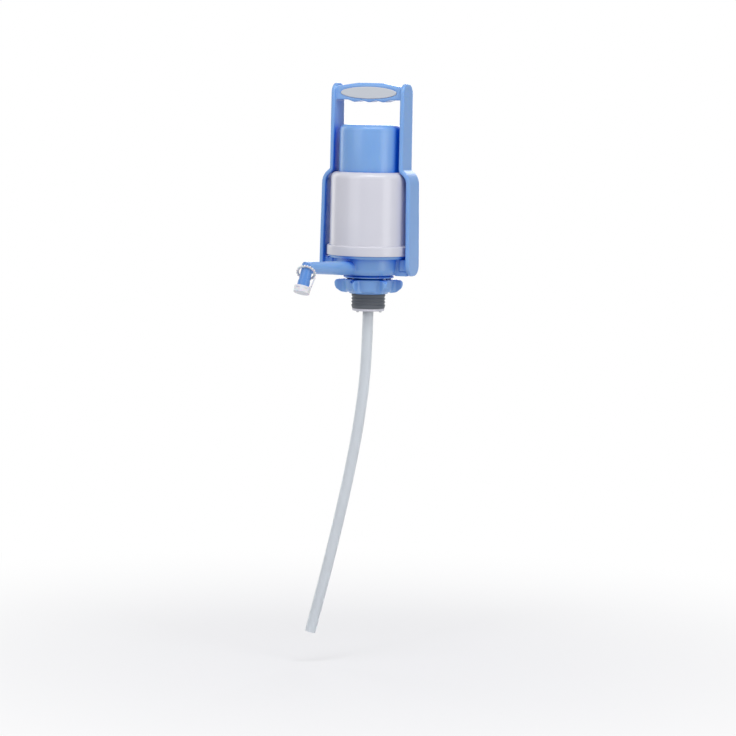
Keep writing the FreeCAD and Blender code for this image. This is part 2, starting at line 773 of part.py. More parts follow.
def make_spout():
    plug_end = spout_socket - d.spout_socket_depth
    middle = spout_socket - d.spout_socket_depth / 2
    half = d.seal_height / 2
    groove = d.spout_plug_radius - d.spout_seal_section
    past_mitre = d.spout_reach + d.spout_tip_radius * 1.6
    body = turned(
        "spout_tube",
        [
            (d.water_bore, plug_end),
            (d.spout_plug_radius, plug_end, 0.6),
            (d.spout_plug_radius, middle - half),
            (groove, middle - half),
            (groove, middle + half),
            (d.spout_plug_radius, middle + half),
            (d.spout_plug_radius, spout_socket),
            (d.spout_root_radius, spout_socket, 0.8),
            (d.spout_tip_radius, past_mitre),
            (d.water_bore, past_mitre),
        ],
        spout_axis,
    )
    mitre = new_sketch(
        body, "mitre", "XY_Plane", at(z=d.spout_reach, turn=about((0, 1, 0), elbow_bend / 2))
    )
    far = d.spout_tip_radius * 3
    draw_outline(mitre, [(-far, -far), (far, -far), (far, far), (-far, far)])
    line_feature(body, "Pocket", mitre, d.spout_reach, reverse=True)


def make_nozzle():
    body = turned(
        "outlet_nozzle",
        [
            (0, d.nozzle_radius * 2),
            (d.nozzle_radius, d.nozzle_radius * 2),
            (d.nozzle_radius, -d.nozzle_band),
            (d.nozzle_band_radius, -d.nozzle_band - 0.8),
            (d.nozzle_band_radius, d.nozzle_bead - d.nozzle_length + 0.6),
            (d.nozzle_bead_radius, d.nozzle_bead - d.nozzle_length),
            (d.nozzle_bead_radius, -d.nozzle_length, 0.8),
            (0, -d.nozzle_length),
        ],
        nozzle_axis,
    )
    mitre_turn = about((0, 1, 0), -(elbow_bend / 2))
    mitre = new_sketch(body, "mitre", "XY_Plane", at(turn=mitre_turn))
    far = d.nozzle_radius * 3
    draw_outline(mitre, [(-far, -far), (far, -far), (far, far), (-far, far)])
    line_feature(body, "Pocket", mitre, d.nozzle_radius * 4, reverse=True)
    past_mitre = d.water_bore * 0.8
    back = at(turn=about((0, 1, 0), -elbow_bend)) * at(z=-past_mitre)
    plug_length = d.nozzle_plug + past_mitre
    cylinder_feature(body, "Pad", back, d.water_bore, plug_length)
    cylinder_feature(body, "Pocket", back, d.nozzle_plug_bore, plug_length + 1)
    low = at(z=-d.nozzle_length)
    cylinder_feature(body, "Pocket", low, d.nozzle_bore, d.nozzle_length + d.nozzle_plug_bore)


def make_dust_cap():
    inner = d.nozzle_bead_radius + d.run_gap
    outer = inner + d.cap_skin
    open_end = d.cap_cover - d.nozzle_length
    floor = -d.nozzle_length - d.run_gap
    body = turned(
        "dust_cap",
        [
            (inner, open_end),
            (outer, open_end, 0.5),
            (outer, floor - d.cap_floor, 1.0),
            (0, floor - d.cap_floor),
            (0, floor),
            (inner, floor),
        ],
        nozzle_axis,
    )
    flat = new_sketch(body, "flat", "XY_Plane")
    lift(flat, floor - d.cap_floor)
    face = outer - d.cap_flat
    draw_outline(flat, [(face, -outer), (outer * 2, -outer), (outer * 2, outer), (face, outer)])
    cut = line_feature(body, "Pocket", flat, d.cap_floor + d.cap_cover * 0.6, reverse=True)
    repeat(body, cut, d.cap_flats)


def make_tether():
    """A beaded ring that leans on the nozzle, and a toothed strap from it to the dust cap."""
    half, tilt = d.ring_thick / 2, math.radians(float(d.ring_tilt))
    bore = (d.nozzle_radius + d.run_gap + half * math.sin(tilt)) / math.cos(tilt)
    outer = bore + d.ring_width
    lean = at(z=-d.ring_place, turn=about((0, 0, 1), d.ring_side))
    place = nozzle_axis * lean * at(turn=about((0, 1, 0), -d.ring_tilt))
    ring = turned("tether_ring", [(bore, -half), (outer, -half), (outer, half), (bore, half)], place)
    bead = new_sketch(ring, "bead", "XY_Plane")
    lift(bead, -half)
    draw_circle(bead, outer, 0, d.bead_radius)
    pad = line_feature(ring, "Pad", bead, d.ring_thick)
    repeat(ring, pad, d.bead_count)
    strap = new_body("cap_tether", nozzle_axis * at(turn=about((0, 0, 1), d.strap_side)))
    foot = d.nozzle_bead_radius + d.run_gap + d.cap_skin / 2
    end = d.cap_cover - d.nozzle_length + d.run_gap
    high = -d.ring_place - d.strap_drop
    slope = (outer - foot) / (high - end)
    sketch = new_sketch(strap, "teeth")
    corners = [(foot - d.strap_thick / 2, end), (foot + d.strap_thick / 2, end)]
    pitch = d.strap_pitch
    count = int(((high - end) / pitch).value)
    for i in range(count):
        for share, tooth in ((0.2, 0), (0.35, 1), (0.6, 1), (0.8, 0)):
            rise = pitch * (i + share)
            corners.append((foot + d.strap_thick / 2 + slope * rise + d.strap_tooth * tooth, end + rise))
    corners += [(outer + d.strap_thick / 2, high), (outer - d.strap_thick / 2, high)]
    draw_outline(sketch, corners)
    line_feature(strap, "Pad", sketch, d.strap_width, midplane=True)


# Barrel, push cap, piston, spring and valves

def make_barrel():
    top_radius = d.barrel_radius - d.barrel_draft
    mouth = d.cap_radius + d.lip_gap
    turned(
        "barrel",
        [
            (bore_radius, rim_high),
            (d.foot_radius, rim_high, d.foot_round / 2),
            (d.foot_radius, rim_high + d.foot_height, d.foot_round),
            (d.barrel_radius, rim_high + d.foot_height + 0.6),
            (top_radius, barrel_top, d.barrel_round),
            (mouth, barrel_top),
            (mouth, guide_top),
            (bore_radius, guide_top),
        ],
    )
    inner = d.cap_radius + d.fit_gap
    ring = turned(
        "guide_ring",
        [(inner, guide_low), (bore_radius, guide_low), (bore_radius, guide_top), (inner, guide_top)],
    )
    notch = cylinder_feature(ring, "Pocket", at(z=guide_low), 1.6, d.guide_height, inner)
    repeat(ring, notch, d.guide_notches)


def make_push_cap():
    body = turned(
        "push_cap",
        [
            (0, cap_top + d.cap_crown),
            (d.cap_radius - 0.3, cap_top, d.cap_round),
            (d.cap_radius, piston_top),
            (cap_inner, piston_top),
            (cap_inner - 0.3, cap_top - d.cap_wall, d.cap_round - d.cap_wall),
            (0, cap_top + d.cap_crown - d.cap_wall),
        ],
    )
    boss = cylinder_feature(
        body, "Pad", at(z=piston_top), d.boss_radius, d.boss_height, boss_circle
    )
    repeat(body, boss, d.boss_count)
    slot = new_sketch(body, "vent", "XY_Plane")
    lift(slot, piston_top)
    reach, half = d.cap_radius * 0.72, d.boss_radius
    draw_outline(
        slot, [(reach, reach - half), (reach + half, reach), (reach, reach + half), (reach - half, reach)]
    )
    vent = line_feature(body, "Pocket", slot, 2.0, reverse=True)
    repeat(body, vent, d.boss_count)
    hole = cylinder_feature(
        body, "Pocket", at(z=piston_top), d.piston_screw_radius, d.boss_height - 2, boss_circle
    )
    repeat(body, hole, d.boss_count)


def make_piston():
    seal_mid = (piston_top + piston_low) / 2
    half = d.seal_height / 2
    groove = piston_radius - d.piston_seal_depth
    body = turned(
        "piston",
        [
            (well_inner, piston_low),
            (piston_radius, piston_low, 0.6),
            (piston_radius, seal_mid - half),
            (groove, seal_mid - half),
            (groove, seal_mid + half),
            (piston_radius, seal_mid + half),
            (piston_radius, piston_top, 0.6),
            (well_outer, piston_top),
            (well_outer, well_roof + d.deck_thick, 2.0),
            (0, well_roof + d.deck_thick),
            (0, well_roof),
            (well_inner, well_roof),
        ],
    )
    hole = cylinder_feature(
        body, "Pocket", at(z=piston_low), d.piston_screw_radius, d.piston_thick, boss_circle
    )
    repeat(body, hole, d.boss_count)
    valve_seat(body, at(z=well_roof))
    turned(
        "piston_seal",
        [
            (groove, seal_mid - half),
            (bore_radius - d.fit_gap, seal_mid - half),
            (bore_radius - d.fit_gap, seal_mid + half),
            (groove, seal_mid + half),
        ],
    )
    screws = screw_body("piston_screws", d.piston_screw_radius, 2.8, d.piston_thick + d.piston_screw_grip)
    count = int(d.boss_count.value)
    spots = [(boss_circle, 360.0 * i / count, 0) for i in range(count)]
    place_copies(screws, spots, piston_low)


def make_valve(label, place):
    """An umbrella valve: a thin disc under the plate, a stem through it and a bulb above it."""
    stem_top = d.deck_thick
    turned(
        label,
        [
            (0, -d.valve_disc - 0.4),
            (d.valve_radius, -0.5),
            (d.valve_radius, 0),
            (d.valve_stem, 0),
            (d.valve_stem, stem_top),
            (d.valve_bulb, stem_top),
            (d.valve_bulb, stem_top + 0.8, 0.5),
            (0.8, stem_top + 3.0),
            (0, stem_top + 3.0),
        ],
        place,
    )


def arc_between(start, corner, end):
    """The arc that leaves start and reaches end along the two equal legs to their corner."""
    middle = (start + end) * 0.5
    half_chord = (end - start).Length / 2
    leg = (corner - start).Length
    swing = math.acos(min(1.0, half_chord / leg))
    top = middle + (corner - middle).normalize() * (half_chord * math.tan(swing / 2))
    return Part.Arc(start, top, end).toShape()


def two_arcs(p, p_way, q, q_way):
    """Two arcs that join p and q smoothly, with the given directions at both ends."""
    v = q - p
    a = 2 * (1 - p_way.dot(q_way))
    b = 2 * v.dot(p_way + q_way)
    c = -v.dot(v)
    leg = -c / b if a < 1e-9 else (-b + math.sqrt(b * b - 4 * a * c)) / (2 * a)
    first, last = p + p_way * leg, q - q_way * leg
    joint = (first + last) * 0.5
    return [arc_between(p, first, joint), arc_between(joint, last, q)]


def make_spring():
    """A coil with a closed turn at each end, swept along arcs of a quarter turn."""
    wire, radius = d.spring_wire.value, d.spring_radius.value
    low = deck_high.value + wire / 2
    height = well_roof.value - deck_high.value - wire
    turns = int(d.spring_turns.value)
    closed = wire + 0.5
    open_pitch = (height - 2 * closed) / (turns - 2)
    steps = 4 * turns

    def level(i):
        t = i / 4.0
        inner = min(max(t - 1, 0), turns - 2)
        return low + closed * min(t, 1) + open_pitch * inner + closed * max(t - turns + 1, 0)

    def slope(i):
        here, before = level(min(i + 1, steps)), level(max(i - 1, 0))
        return (here - before) / (min(i + 1, steps) - max(i - 1, 0)) * 2 / math.pi

    def point(i):
        a = math.pi * i / 2
        return Vector(radius * math.cos(a), radius * math.sin(a), level(i))

    def way(i):
        a = math.pi * i / 2
        return Vector(-radius * math.sin(a), radius * math.cos(a), slope(i)).normalize()

    edges = []
    for i in range(steps):
        edges += two_arcs(point(i), way(i), point(i + 1), way(i + 1))
    path = Part.Wire(edges)
    ring = Part.Wire([Part.Circle(point(0), way(0), wire / 2).toShape()])
    shape = path.makePipeShell([ring], True, False)
    spring = doc.addObject("Part::Feature", "return_spring")
    spring.Label = "return_spring"
    spring.Shape = shape
    samples = []
    for edge in path.OrderedEdges:
        samples += edge.discretize(9)[:-1]
    per_turn = len(samples) // turns
    least = min(
        (samples[i] - samples[j]).Length
        for i in range(len(samples))
        for j in range(i + per_turn // 2, len(samples))
    )
    print("return_spring: least gap between turns %.2f mm" % (least - wire))
    return spring


# Handle frame and its grip pads

def make_handle_frame():
    rise = d.jog_high - d.jog_low
    jog_out = d.arm_low - d.arm_lean
    step = jog_out - d.arm_high
    lean = root(rise * rise + step * step)
    shift = d.arm_thick * ((lean - rise) / step)
    arms = []
    for side in (1, -1):
        body = new_body("arm")
        sketch = new_sketch(body, "strap")
        draw_outline(
            sketch,
            [
                (side * d.arm_low, arm_bottom),
                (side * jog_out, d.jog_low, d.jog_round),
                (side * d.arm_high, d.jog_high, d.kink_round),
                (side * d.arm_high, arm_top),
                (side * arm_high_inner, arm_top),
                (side * arm_high_inner, d.jog_high - shift, d.kink_round + d.arm_thick),
                (side * (jog_out - d.arm_thick), d.jog_low - shift, d.jog_round - d.arm_thick),
                (side * arm_low_inner, arm_bottom),
            ],
        )
        line_feature(body, "Pad", sketch, d.arm_depth, midplane=True)
        ends = new_body("arm_ends")
        outline = new_sketch(ends, "rounded", "YZ_Plane")
        half = d.arm_depth / 2
        half_top = half - d.arm_taper / 2
        draw_outline(
            outline,
            [
                (-half, arm_bottom, d.arm_round_low),
                (half, arm_bottom, d.arm_round_low),
                (half_top, arm_top, d.arm_round_high),
                (-half_top, arm_top, d.arm_round_high),
            ],
        )
        line_feature(ends, "Pad", outline, d.arm_low * 4, midplane=True)
        strap = doc.addObject("Part::Common", "strap")
        strap.Base, strap.Tool = body, ends
        doc.recompute()
        arms.append(round_straps(strap))
    bar = make_bar()
    feet = [make_foot(side) for side in (1, -1)]
    whole = doc.addObject("Part::MultiFuse", "frame_fused")
    whole.Shapes = arms + [bar] + feet
    tools = [pad_solid("recess", y, d.pad_sunk + 1) for y in (-1, 1)]
    tools += [screw_hole(side, turn) for side in (1, -1) for turn in (1, -1)]
    cutters = doc.addObject("Part::MultiFuse", "frame_cuts")
    cutters.Shapes = tools
    frame = doc.addObject("Part::Cut", "handle_frame")
    frame.Label = "handle_frame"
    frame.Base, frame.Tool = whole, cutters
    frame.Refine = True
    return frame


def round_straps(strap):
    """Rounds the two long outlines of a strap, which run where its faces meet its rim."""
    picked = []
    for number, edge in enumerate(strap.Shape.Edges, 1):
        ends = [v.Point for v in edge.Vertexes]
        run = ends[-1] - ends[0]
        folds = abs(run.x) + abs(run.z) < 1e-6 and abs(run.y) > d.arm_depth.value / 2
        if not folds:
            picked.append((number, d.arm_edge.value, d.arm_edge.value))
    rounded = doc.addObject("Part::Fillet", "strap_rounded")
    rounded.Base = strap
    rounded.Edges = picked
    return rounded


def make_bar():
    """The grip bar: a bowed bar with finger ridges below, cut to a rounded section."""
    body = new_body("bar")
    sketch = new_sketch(body, "bowed")
    end = (arm_high_inner + d.arm_high) / 2
    pitch, ridge = d.finger_pitch, bar_under - d.finger_ridge
    valley = bar_under - 0.4
    corners = [(-end, bar_under)]
    corners += [(-pitch * 1.45, bar_under, d.finger_round)]
    for i in (-1, 0, 1):
        corners += [(pitch * i, ridge, d.finger_round)]
        if i < 1:
            corners += [(pitch * (i + 0.5), valley, d.finger_round)]
    corners += [(pitch * 1.45, bar_under, d.finger_round)]
    corners += [(end, bar_under), (end, bar_end_top)]
    bow = end * end / (bar_mid_top - bar_end_top) / 2
    corners += [(0, bar_mid_top + (bar_mid_top - bar_end_top) * 0.6, bow * 0.55)]
    corners += [(-end, bar_end_top)]
    draw_outline(sketch, corners)
    line_feature(body, "Pad", sketch, d.bar_depth * 2, midplane=True)
    section = new_body("bar_section")
    outline = new_sketch(section, "rounded", "YZ_Plane")
    half = d.bar_depth / 2
    low, high = ridge - 1.0, bar_mid_top + 0.4
    draw_outline(
        outline,
        [
            (-half, low, d.bar_round_low),
            (half, low, d.bar_round_low),
            (half, high, d.bar_round_top),
            (-half, high, d.bar_round_top),
        ],
    )
    line_feature(section, "Pad", outline, end * 2.2, midplane=True)
    bar = doc.addObject("Part::Common", "bar_shaped")
    bar.Base, bar.Tool = body, section
    return bar


def make_foot(side):
    """A foot between strap and base, over the base's lug: it flares to the strap, with a groove."""
    body = new_body("foot")
    sketch = new_sketch(body, "plan", "XY_Plane")
    lift(sketch, foot_low)
    half, inner, outer = d.foot_width / 2, d.lug_face, arm_low_inner + 1.0
    middle = (inner + outer) / 2
    front = [
        (inner, half),
        (middle - 1.2, half, 0.6),
        (middle, half - d.foot_groove, 0.4),
        (middle + 1.2, half, 0.6),
        (outer - 1.6, half + 0.4, 3.0),
        (outer, half + d.foot_flare),
    ]
    back = [(corner[0], -corner[1]) + corner[2:] for corner in reversed(front)]
    draw_outline(sketch, [(side * corner[0],) + corner[1:] for corner in front + back])
    line_feature(body, "Pad", sketch, foot_high - foot_low)
    return body


def screw_hole(side, turn):
    hole = doc.addObject("Part::Cylinder", "screw_hole")
    hole.setExpression("Radius", d.foot_screw_radius.formula)
    hole.setExpression("Height", (d.foot_screw_length + 0.5).formula)
    x, y = side * d.foot_screw_reach, turn * d.foot_screw_spread / 2
    hole.Placement = at(x, y, base_low + d.screw_head_height)
    return hole


def pad_solid(name, side, depth):
    """An oval plate let into the front or rear face of the grip bar."""
    oval = doc.addObject("Part::Ellipse", name + "_oval")
    oval.setExpression("MajorRadius", (d.pad_length / 2).formula)
    oval.setExpression("MinorRadius", (d.pad_height / 2).formula)
    face = d.bar_depth / 2 - d.pad_sunk
    oval.Placement = at(y=side * face, z=pad_level, turn=about((1, 0, 0), 90))
    plate = doc.addObject("Part::Extrusion", name)
    plate.Base = oval
    plate.Dir = Vector(0, side, 0)
    plate.DirMode = "Custom"
    plate.setExpression("LengthFwd", as_size(depth).formula)
    plate.Solid = True
    return plate


def make_grip_pads():
    for label, side in (("grip_pad_front", -1), ("grip_pad_rear", 1)):
        plate = pad_solid(label + "_plate", side, d.pad_sunk + d.pad_proud)
        doc.recompute()
        pad = doc.addObject("Part::Fillet", label)
        pad.Label = label
        pad.Base = plate
        face = side * (d.bar_depth / 2 + d.pad_proud).value
        outer = [
            (n, 0.5, 0.5)
            for n, e in enumerate(plate.Shape.Edges, 1)
            if all(abs(p.y - face) < 1e-4 for p in e.discretize(5))
        ]
        pad.Edges = outer


def make_handle_screws():
    one = screw_body(
        "handle_screws", d.foot_screw_radius, d.foot_screw_head, d.foot_screw_length
    )
    half = d.foot_screw_spread / 2
    spots = [(d.foot_screw_reach, angle, s * half) for angle in (0, 180) for s in (1, -1)]
    place_copies(one, spots, base_low + d.screw_head_height + 0.4)


# Dip hose

HOSE_RUNS = [(79, 0), (84, 6), (80, 10), (76, 12), (70, 13), (58, 14)]


def make_dip_hose():
    """The hose hangs from the barb and bends away gently: straight runs joined by tangent arcs."""
    way = about((0, 0, 1), d.hose_turn).multVec(Vector(1, 0, 0))
    points = [Vector(0, 0, float(-d.duct_drop - d.barb_collar))]
    for length, angle in HOSE_RUNS:
        a = math.radians(angle)
        step = way * (length * math.sin(a)) - Vector(0, 0, length * math.cos(a))
        points.append(points[-1] + step)
    edges, start, radii = [], points[0], []
    for i in range(1, len(points) - 1):
        back = (points[i - 1] - points[i]).normalize()
        ahead = (points[i + 1] - points[i]).normalize()
        half = (math.pi - back.getAngle(ahead)) / 2
        shorter = min((points[i] - points[i - 1]).Length, (points[i + 1] - points[i]).Length)
        leg = 0.45 * shorter
        radii.append(leg / math.tan(half))
        first, last = points[i] + back * leg, points[i] + ahead * leg
        edges.append(Part.LineSegment(start, first).toShape())
        edges.append(arc_between(first, points[i], last))
        start = last
    edges.append(Part.LineSegment(start, points[-1]).toShape())
    path = Part.Wire(edges)
    tube = []
    for radius in (d.hose_radius.value, d.hose_bore.value):
        ring = Part.Wire([Part.Circle(points[0], Vector(0, 0, -1), radius).toShape()])
        tube.append(path.makePipeShell([ring], True, False))
    hose = doc.addObject("Part::Feature", "dip_hose")
    hose.Label = "dip_hose"
    hose.Shape = tube[0].cut(tube[1])
    section = math.pi * (d.hose_radius.value ** 2 - d.hose_bore.value ** 2)
    print("dip_hose: radii %s mm" % ", ".join("%.0f" % r for r in radii))
    print("dip_hose: volume / (section x length) %.4f" % (hose.Shape.Volume / section / path.Length))
    return hose


def check_and_write(nodes):
    """Stops on any failed object or bad solid, then writes one file for each node."""
    doc.recompute()
    for obj in doc.Objects:
        if "Invalid" in obj.State or "Error" in obj.State:
            raise RuntimeError("%s failed: %s" % (obj.Label, obj.State))
    os.makedirs("parts", exist_ok=True)
    for label in nodes:
        shape = doc.getObjectsByLabel(label)[0].Shape
        if shape.isNull() or not shape.isValid() or not shape.Solids:
            raise RuntimeError("%s has no valid solid" % label)
        shape.exportStep("parts/%s.step" % label)
        print("%-18s %2d solid(s) %12.1f mm3" % (label, len(shape.Solids), shape.Volume))


NODES = [
    "base", "neck_bung", "bung_retainer", "retainer_screws", "slip_ring", "locking_collar",
    "barrel", "barrel_seal", "guide_ring", "push_cap", "piston", "piston_seal",
    "piston_screws", "return_spring", "check_valve", "intake_valve", "hose_barb",
    "barb_seal", "dip_hose", "spout_tube", "spout_seal", "outlet_nozzle", "dust_cap",
    "tether_ring", "cap_tether", "handle_frame", "grip_pad_front", "grip_pad_rear",
    "handle_screws",
]

make_base()
make_neck_lock()
make_seals()
make_barb()
make_spout()
make_nozzle()
make_dust_cap()
make_tether()
make_barrel()
make_push_cap()
make_piston()
make_valve("check_valve", at(y=d.valve_offset, z=deck_low))
make_valve("intake_valve", at(z=well_roof))
make_spring()
make_handle_frame()
make_grip_pads()
make_handle_screws()
make_dip_hose()
check_and_write(NODES)
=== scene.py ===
import json
import math

import bmesh
import bpy
from mathutils import Matrix, Quaternion, Vector


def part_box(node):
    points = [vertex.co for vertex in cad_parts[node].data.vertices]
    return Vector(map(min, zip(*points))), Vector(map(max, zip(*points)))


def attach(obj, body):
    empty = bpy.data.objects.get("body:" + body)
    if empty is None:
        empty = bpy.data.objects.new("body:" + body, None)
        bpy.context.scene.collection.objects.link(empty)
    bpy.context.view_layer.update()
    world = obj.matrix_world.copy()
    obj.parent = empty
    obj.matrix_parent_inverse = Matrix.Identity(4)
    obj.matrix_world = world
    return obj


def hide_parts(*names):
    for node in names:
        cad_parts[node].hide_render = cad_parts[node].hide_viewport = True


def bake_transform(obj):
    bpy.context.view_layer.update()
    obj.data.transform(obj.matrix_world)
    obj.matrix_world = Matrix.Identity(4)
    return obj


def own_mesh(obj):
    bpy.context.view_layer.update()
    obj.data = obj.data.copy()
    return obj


# A hand press pump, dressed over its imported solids. Shapes are worked out in millimetres, and
# turned to metres by MM as each piece is finished. The camera, lamps and floor are in metres.

MM = 0.001
FULL_TURN = 2 * math.pi

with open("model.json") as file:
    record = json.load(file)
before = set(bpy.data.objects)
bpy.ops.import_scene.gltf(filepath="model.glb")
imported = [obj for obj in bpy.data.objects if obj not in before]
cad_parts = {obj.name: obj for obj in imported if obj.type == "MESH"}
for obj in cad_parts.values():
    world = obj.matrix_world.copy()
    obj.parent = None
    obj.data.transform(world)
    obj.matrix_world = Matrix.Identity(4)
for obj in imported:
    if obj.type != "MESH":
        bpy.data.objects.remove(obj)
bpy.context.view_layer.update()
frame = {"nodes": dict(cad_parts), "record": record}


# The camera stands where the photograph was taken from.

CAMERA_TURN = math.radians(23.0)
CAMERA_REACH = 3.73
CAMERA_HEIGHT = 0.2729
CAMERA_ROLL = math.radians(1.07)
LENS_MM, SENSOR_MM = 141.0, 36.0
LOOK_LEVEL = -0.0971
LOOK_SHIFT = 0.0012


def place_camera():
    """Aims a long lens, a little rolled, at a point on the pump's axis."""
    data = bpy.data.cameras.new("camera")
    data.lens, data.sensor_width = LENS_MM, SENSOR_MM
    data.clip_end = 50.0
    camera = bpy.data.objects.new("camera", data)
    bpy.context.scene.collection.objects.link(camera)
    sine, cosine = math.sin(CAMERA_TURN), math.cos(CAMERA_TURN)
    spot = Vector((CAMERA_REACH * sine, -CAMERA_REACH * cosine, CAMERA_HEIGHT))
    target = Vector((LOOK_SHIFT * cosine, LOOK_SHIFT * sine, LOOK_LEVEL))
    level = (target - spot).to_track_quat("-Z", "Y")
    camera.location = spot
    camera.rotation_mode = "QUATERNION"
    camera.rotation_quaternion = level @ Quaternion((0, 0, 1), CAMERA_ROLL)
    bpy.context.scene.camera = camera


place_camera()


# Nodes and materials

def add(tree, kind, inputs=None, **settings):
    """Adds a node, with its settings, and its inputs as values or as links from other sockets."""
    made = tree.nodes.new(kind)
    for name, value in settings.items():
        setattr(made, name, value)
    for name, value in (inputs or {}).items():
        if isinstance(value, bpy.types.NodeSocket):
            tree.links.new(value, made.inputs[name])
        else:
            made.inputs[name].default_value = value
    return made


def linear(hex_colour):
    """An sRGB hex colour as the linear values that a shader takes."""
    channels = [int(hex_colour[i : i + 2], 16) / 255 for i in (1, 3, 5)]
    return [c / 12.92 if c <= 0.04045 else ((c + 0.055) / 1.055) ** 2.4 for c in channels] + [1.0]


def new_material(name):
    """An empty material, its node tree, and the Object coordinates that every pattern reads."""
    material = bpy.data.materials.new(name)
    material.use_nodes = True
    tree = material.node_tree
    tree.nodes.clear()
    return material, tree, add(tree, "ShaderNodeTexCoord").outputs["Object"]


def per_metre(size_mm):
    """The Scale of a pattern whose grains are this many millimetres apart."""
    return 1000.0 / size_mm


def moulded(name, light, dark, roughness, ior, peel_mm=1.6, peel=0.10, deep=None, shading=None):
    """Injection moulded plastic or rubber: a tone that drifts, flow marks along the mould's
    draw in its gloss, and the fine orange peel of a polished or etched mould. Real peel is
    about half a millimetre across, and is drawn at 1.6 mm so that it shows. With deep given,
    a painted shade colour is mixed into the recesses by ambient occlusion."""
    drift_mm, flow_mm, flow_run, gloss_spread, peel_depth = 38, 7, 0.06, 0.01, 0.05 * MM
    shade_reach, shut, open_enough = 30 * MM, 0.25, 0.8
    material, tree, place = new_material(name)
    drift = add(
        tree, "ShaderNodeTexNoise", {"Vector": place, "Scale": per_metre(drift_mm), "Detail": 2.0}
    )
    tone = add(
        tree, "ShaderNodeMix", {"Factor": drift.outputs["Fac"], "A": linear(light), "B": linear(dark)},
        data_type="RGBA",
    )
    if deep:
        # Painted shade: where ambient occlusion finds the surface closed in, the tone is mixed
        #         towards the deep colour, so recesses come out darker and bluer.
        recess = add(tree, "ShaderNodeAmbientOcclusion", {"Distance": shade_reach}, samples=8)
        open_to_light = add(
            tree, "ShaderNodeMapRange",
            {"Value": recess.outputs["AO"], "From Min": shut, "From Max": open_enough},
        )
        tone = add(
            tree, "ShaderNodeMix",
            {"Factor": open_to_light.outputs["Result"], "A": linear(deep), "B": tone.outputs["Result"]},
            data_type="RGBA",
        )
    draw = add(tree, "ShaderNodeMapping", {"Vector": place, "Scale": (1.0, 1.0, flow_run)})
    flow = add(
        tree, "ShaderNodeTexNoise",
        {"Vector": draw.outputs["Vector"], "Scale": per_metre(flow_mm), "Detail": 3.0},
    )
    gloss = add(
        tree, "ShaderNodeMapRange",
        {
            "Value": flow.outputs["Fac"],
            "To Min": roughness - gloss_spread,
            "To Max": roughness + gloss_spread,
        },
    )
    skin = add(
        tree, "ShaderNodeTexNoise", {"Vector": place, "Scale": per_metre(peel_mm), "Detail": 1.0}
    )
    bump = add(
        tree, "ShaderNodeBump",
        {"Height": skin.outputs["Fac"], "Strength": peel, "Distance": peel_depth},
    )
    shader = add(
        tree, "ShaderNodeBsdfPrincipled",
        {
            "Base Color": tone.outputs["Result"],
            "Roughness": gloss.outputs["Result"],
            "Normal": bump.outputs["Normal"],
            "IOR": ior,
            **(shading or {}),
        },
    )
    add(tree, "ShaderNodeOutputMaterial", {"Surface": shader.outputs["BSDF"]})
    return material


# Blue polypropylene, moulded: satin, so lamps show as wide soft lights on its edges, and thin
#  walls pass a little light. Its recesses get a painted shade, a deeper blue mixed in by ambient
#  occlusion.
BLUE_PLASTIC = moulded(
    # deep is the painted shade colour mixed into the recesses.
    "blue_polypropylene", "#759FD4", "#6F99D0", roughness=0.25, ior=1.49, deep="#0A6ADB",
    shading={
        "Subsurface Weight": 0.2,
        "Subsurface Radius": (0.2, 0.45, 1.0),
        "Subsurface Scale": 0.006,
    },
)
# The same plastic with more pigment, for the nozzle: a deeper blue under the same satin.
NOZZLE_PLASTIC = moulded(
    "deep_blue_polypropylene", "#5586C9", "#4F80C4", roughness=0.28, ior=1.49
)
# White polypropylene, moulded: faintly cool, glossy, with the draw of the mould in its shine.
WHITE_PLASTIC = moulded("white_polypropylene", "#C6C6CF", "#C1C1CB", roughness=0.22, ior=1.49)
# Polythene, moulded thin: the cap and tether look waxy and let a little light through.
CAP_PLASTIC = moulded(
    "white_polythene", "#D4D5DB", "#CDCED6", roughness=0.42, ior=1.51,
    shading={"Subsurface Weight": 0.2, "Subsurface Scale": 0.002},
)
# Thermoplastic rubber from an etched mould: a dull pale grip with a fine grain that takes no
# clear light. The real grain is about 0.3 mm, and is drawn at 0.7 mm so that it shows.
PAD_RUBBER = moulded(
    "pale_thermoplastic_rubber", "#BBBFC5", "#B5B9C0", roughness=0.62, ior=1.50, peel_mm=0.7,
    peel=0.5,
)
# Nitrile rubber, pressed in a plain mould: dark grey and dull, with a soft bloom, whose specks
# are drawn at 0.9 mm, several times as coarse as real ones, so that they show.
GREY_RUBBER = moulded(
    "grey_nitrile_rubber", "#5A5F66", "#50555C", roughness=0.58, ior=1.52, peel_mm=0.9,
    peel=0.4,
)


def turned_steel():
    """Stainless steel, cold formed: mid grey metal with rings a third of a millimetre apart,
    where the tool turned it."""
    speck_mm, packed_along = 3, 9.0
    brightest, dullest = 0.22, 0.38
    material, tree, place = new_material("stainless_steel")
    draw = add(tree, "ShaderNodeMapping", {"Vector": place, "Scale": (1.0, 1.0, packed_along)})
    rings = add(
        tree, "ShaderNodeTexNoise",
        {"Vector": draw.outputs["Vector"], "Scale": per_metre(speck_mm), "Detail": 4.0},
    )
    gloss = add(
        tree, "ShaderNodeMapRange",
        {"Value": rings.outputs["Fac"], "To Min": brightest, "To Max": dullest},
    )
    shader = add(
        tree, "ShaderNodeBsdfPrincipled",
        {"Base Color": linear("#BFC1C4"), "Metallic": 1.0, "Roughness": gloss.outputs["Result"]},
    )
    add(tree, "ShaderNodeOutputMaterial", {"Surface": shader.outputs["BSDF"]})
    return material


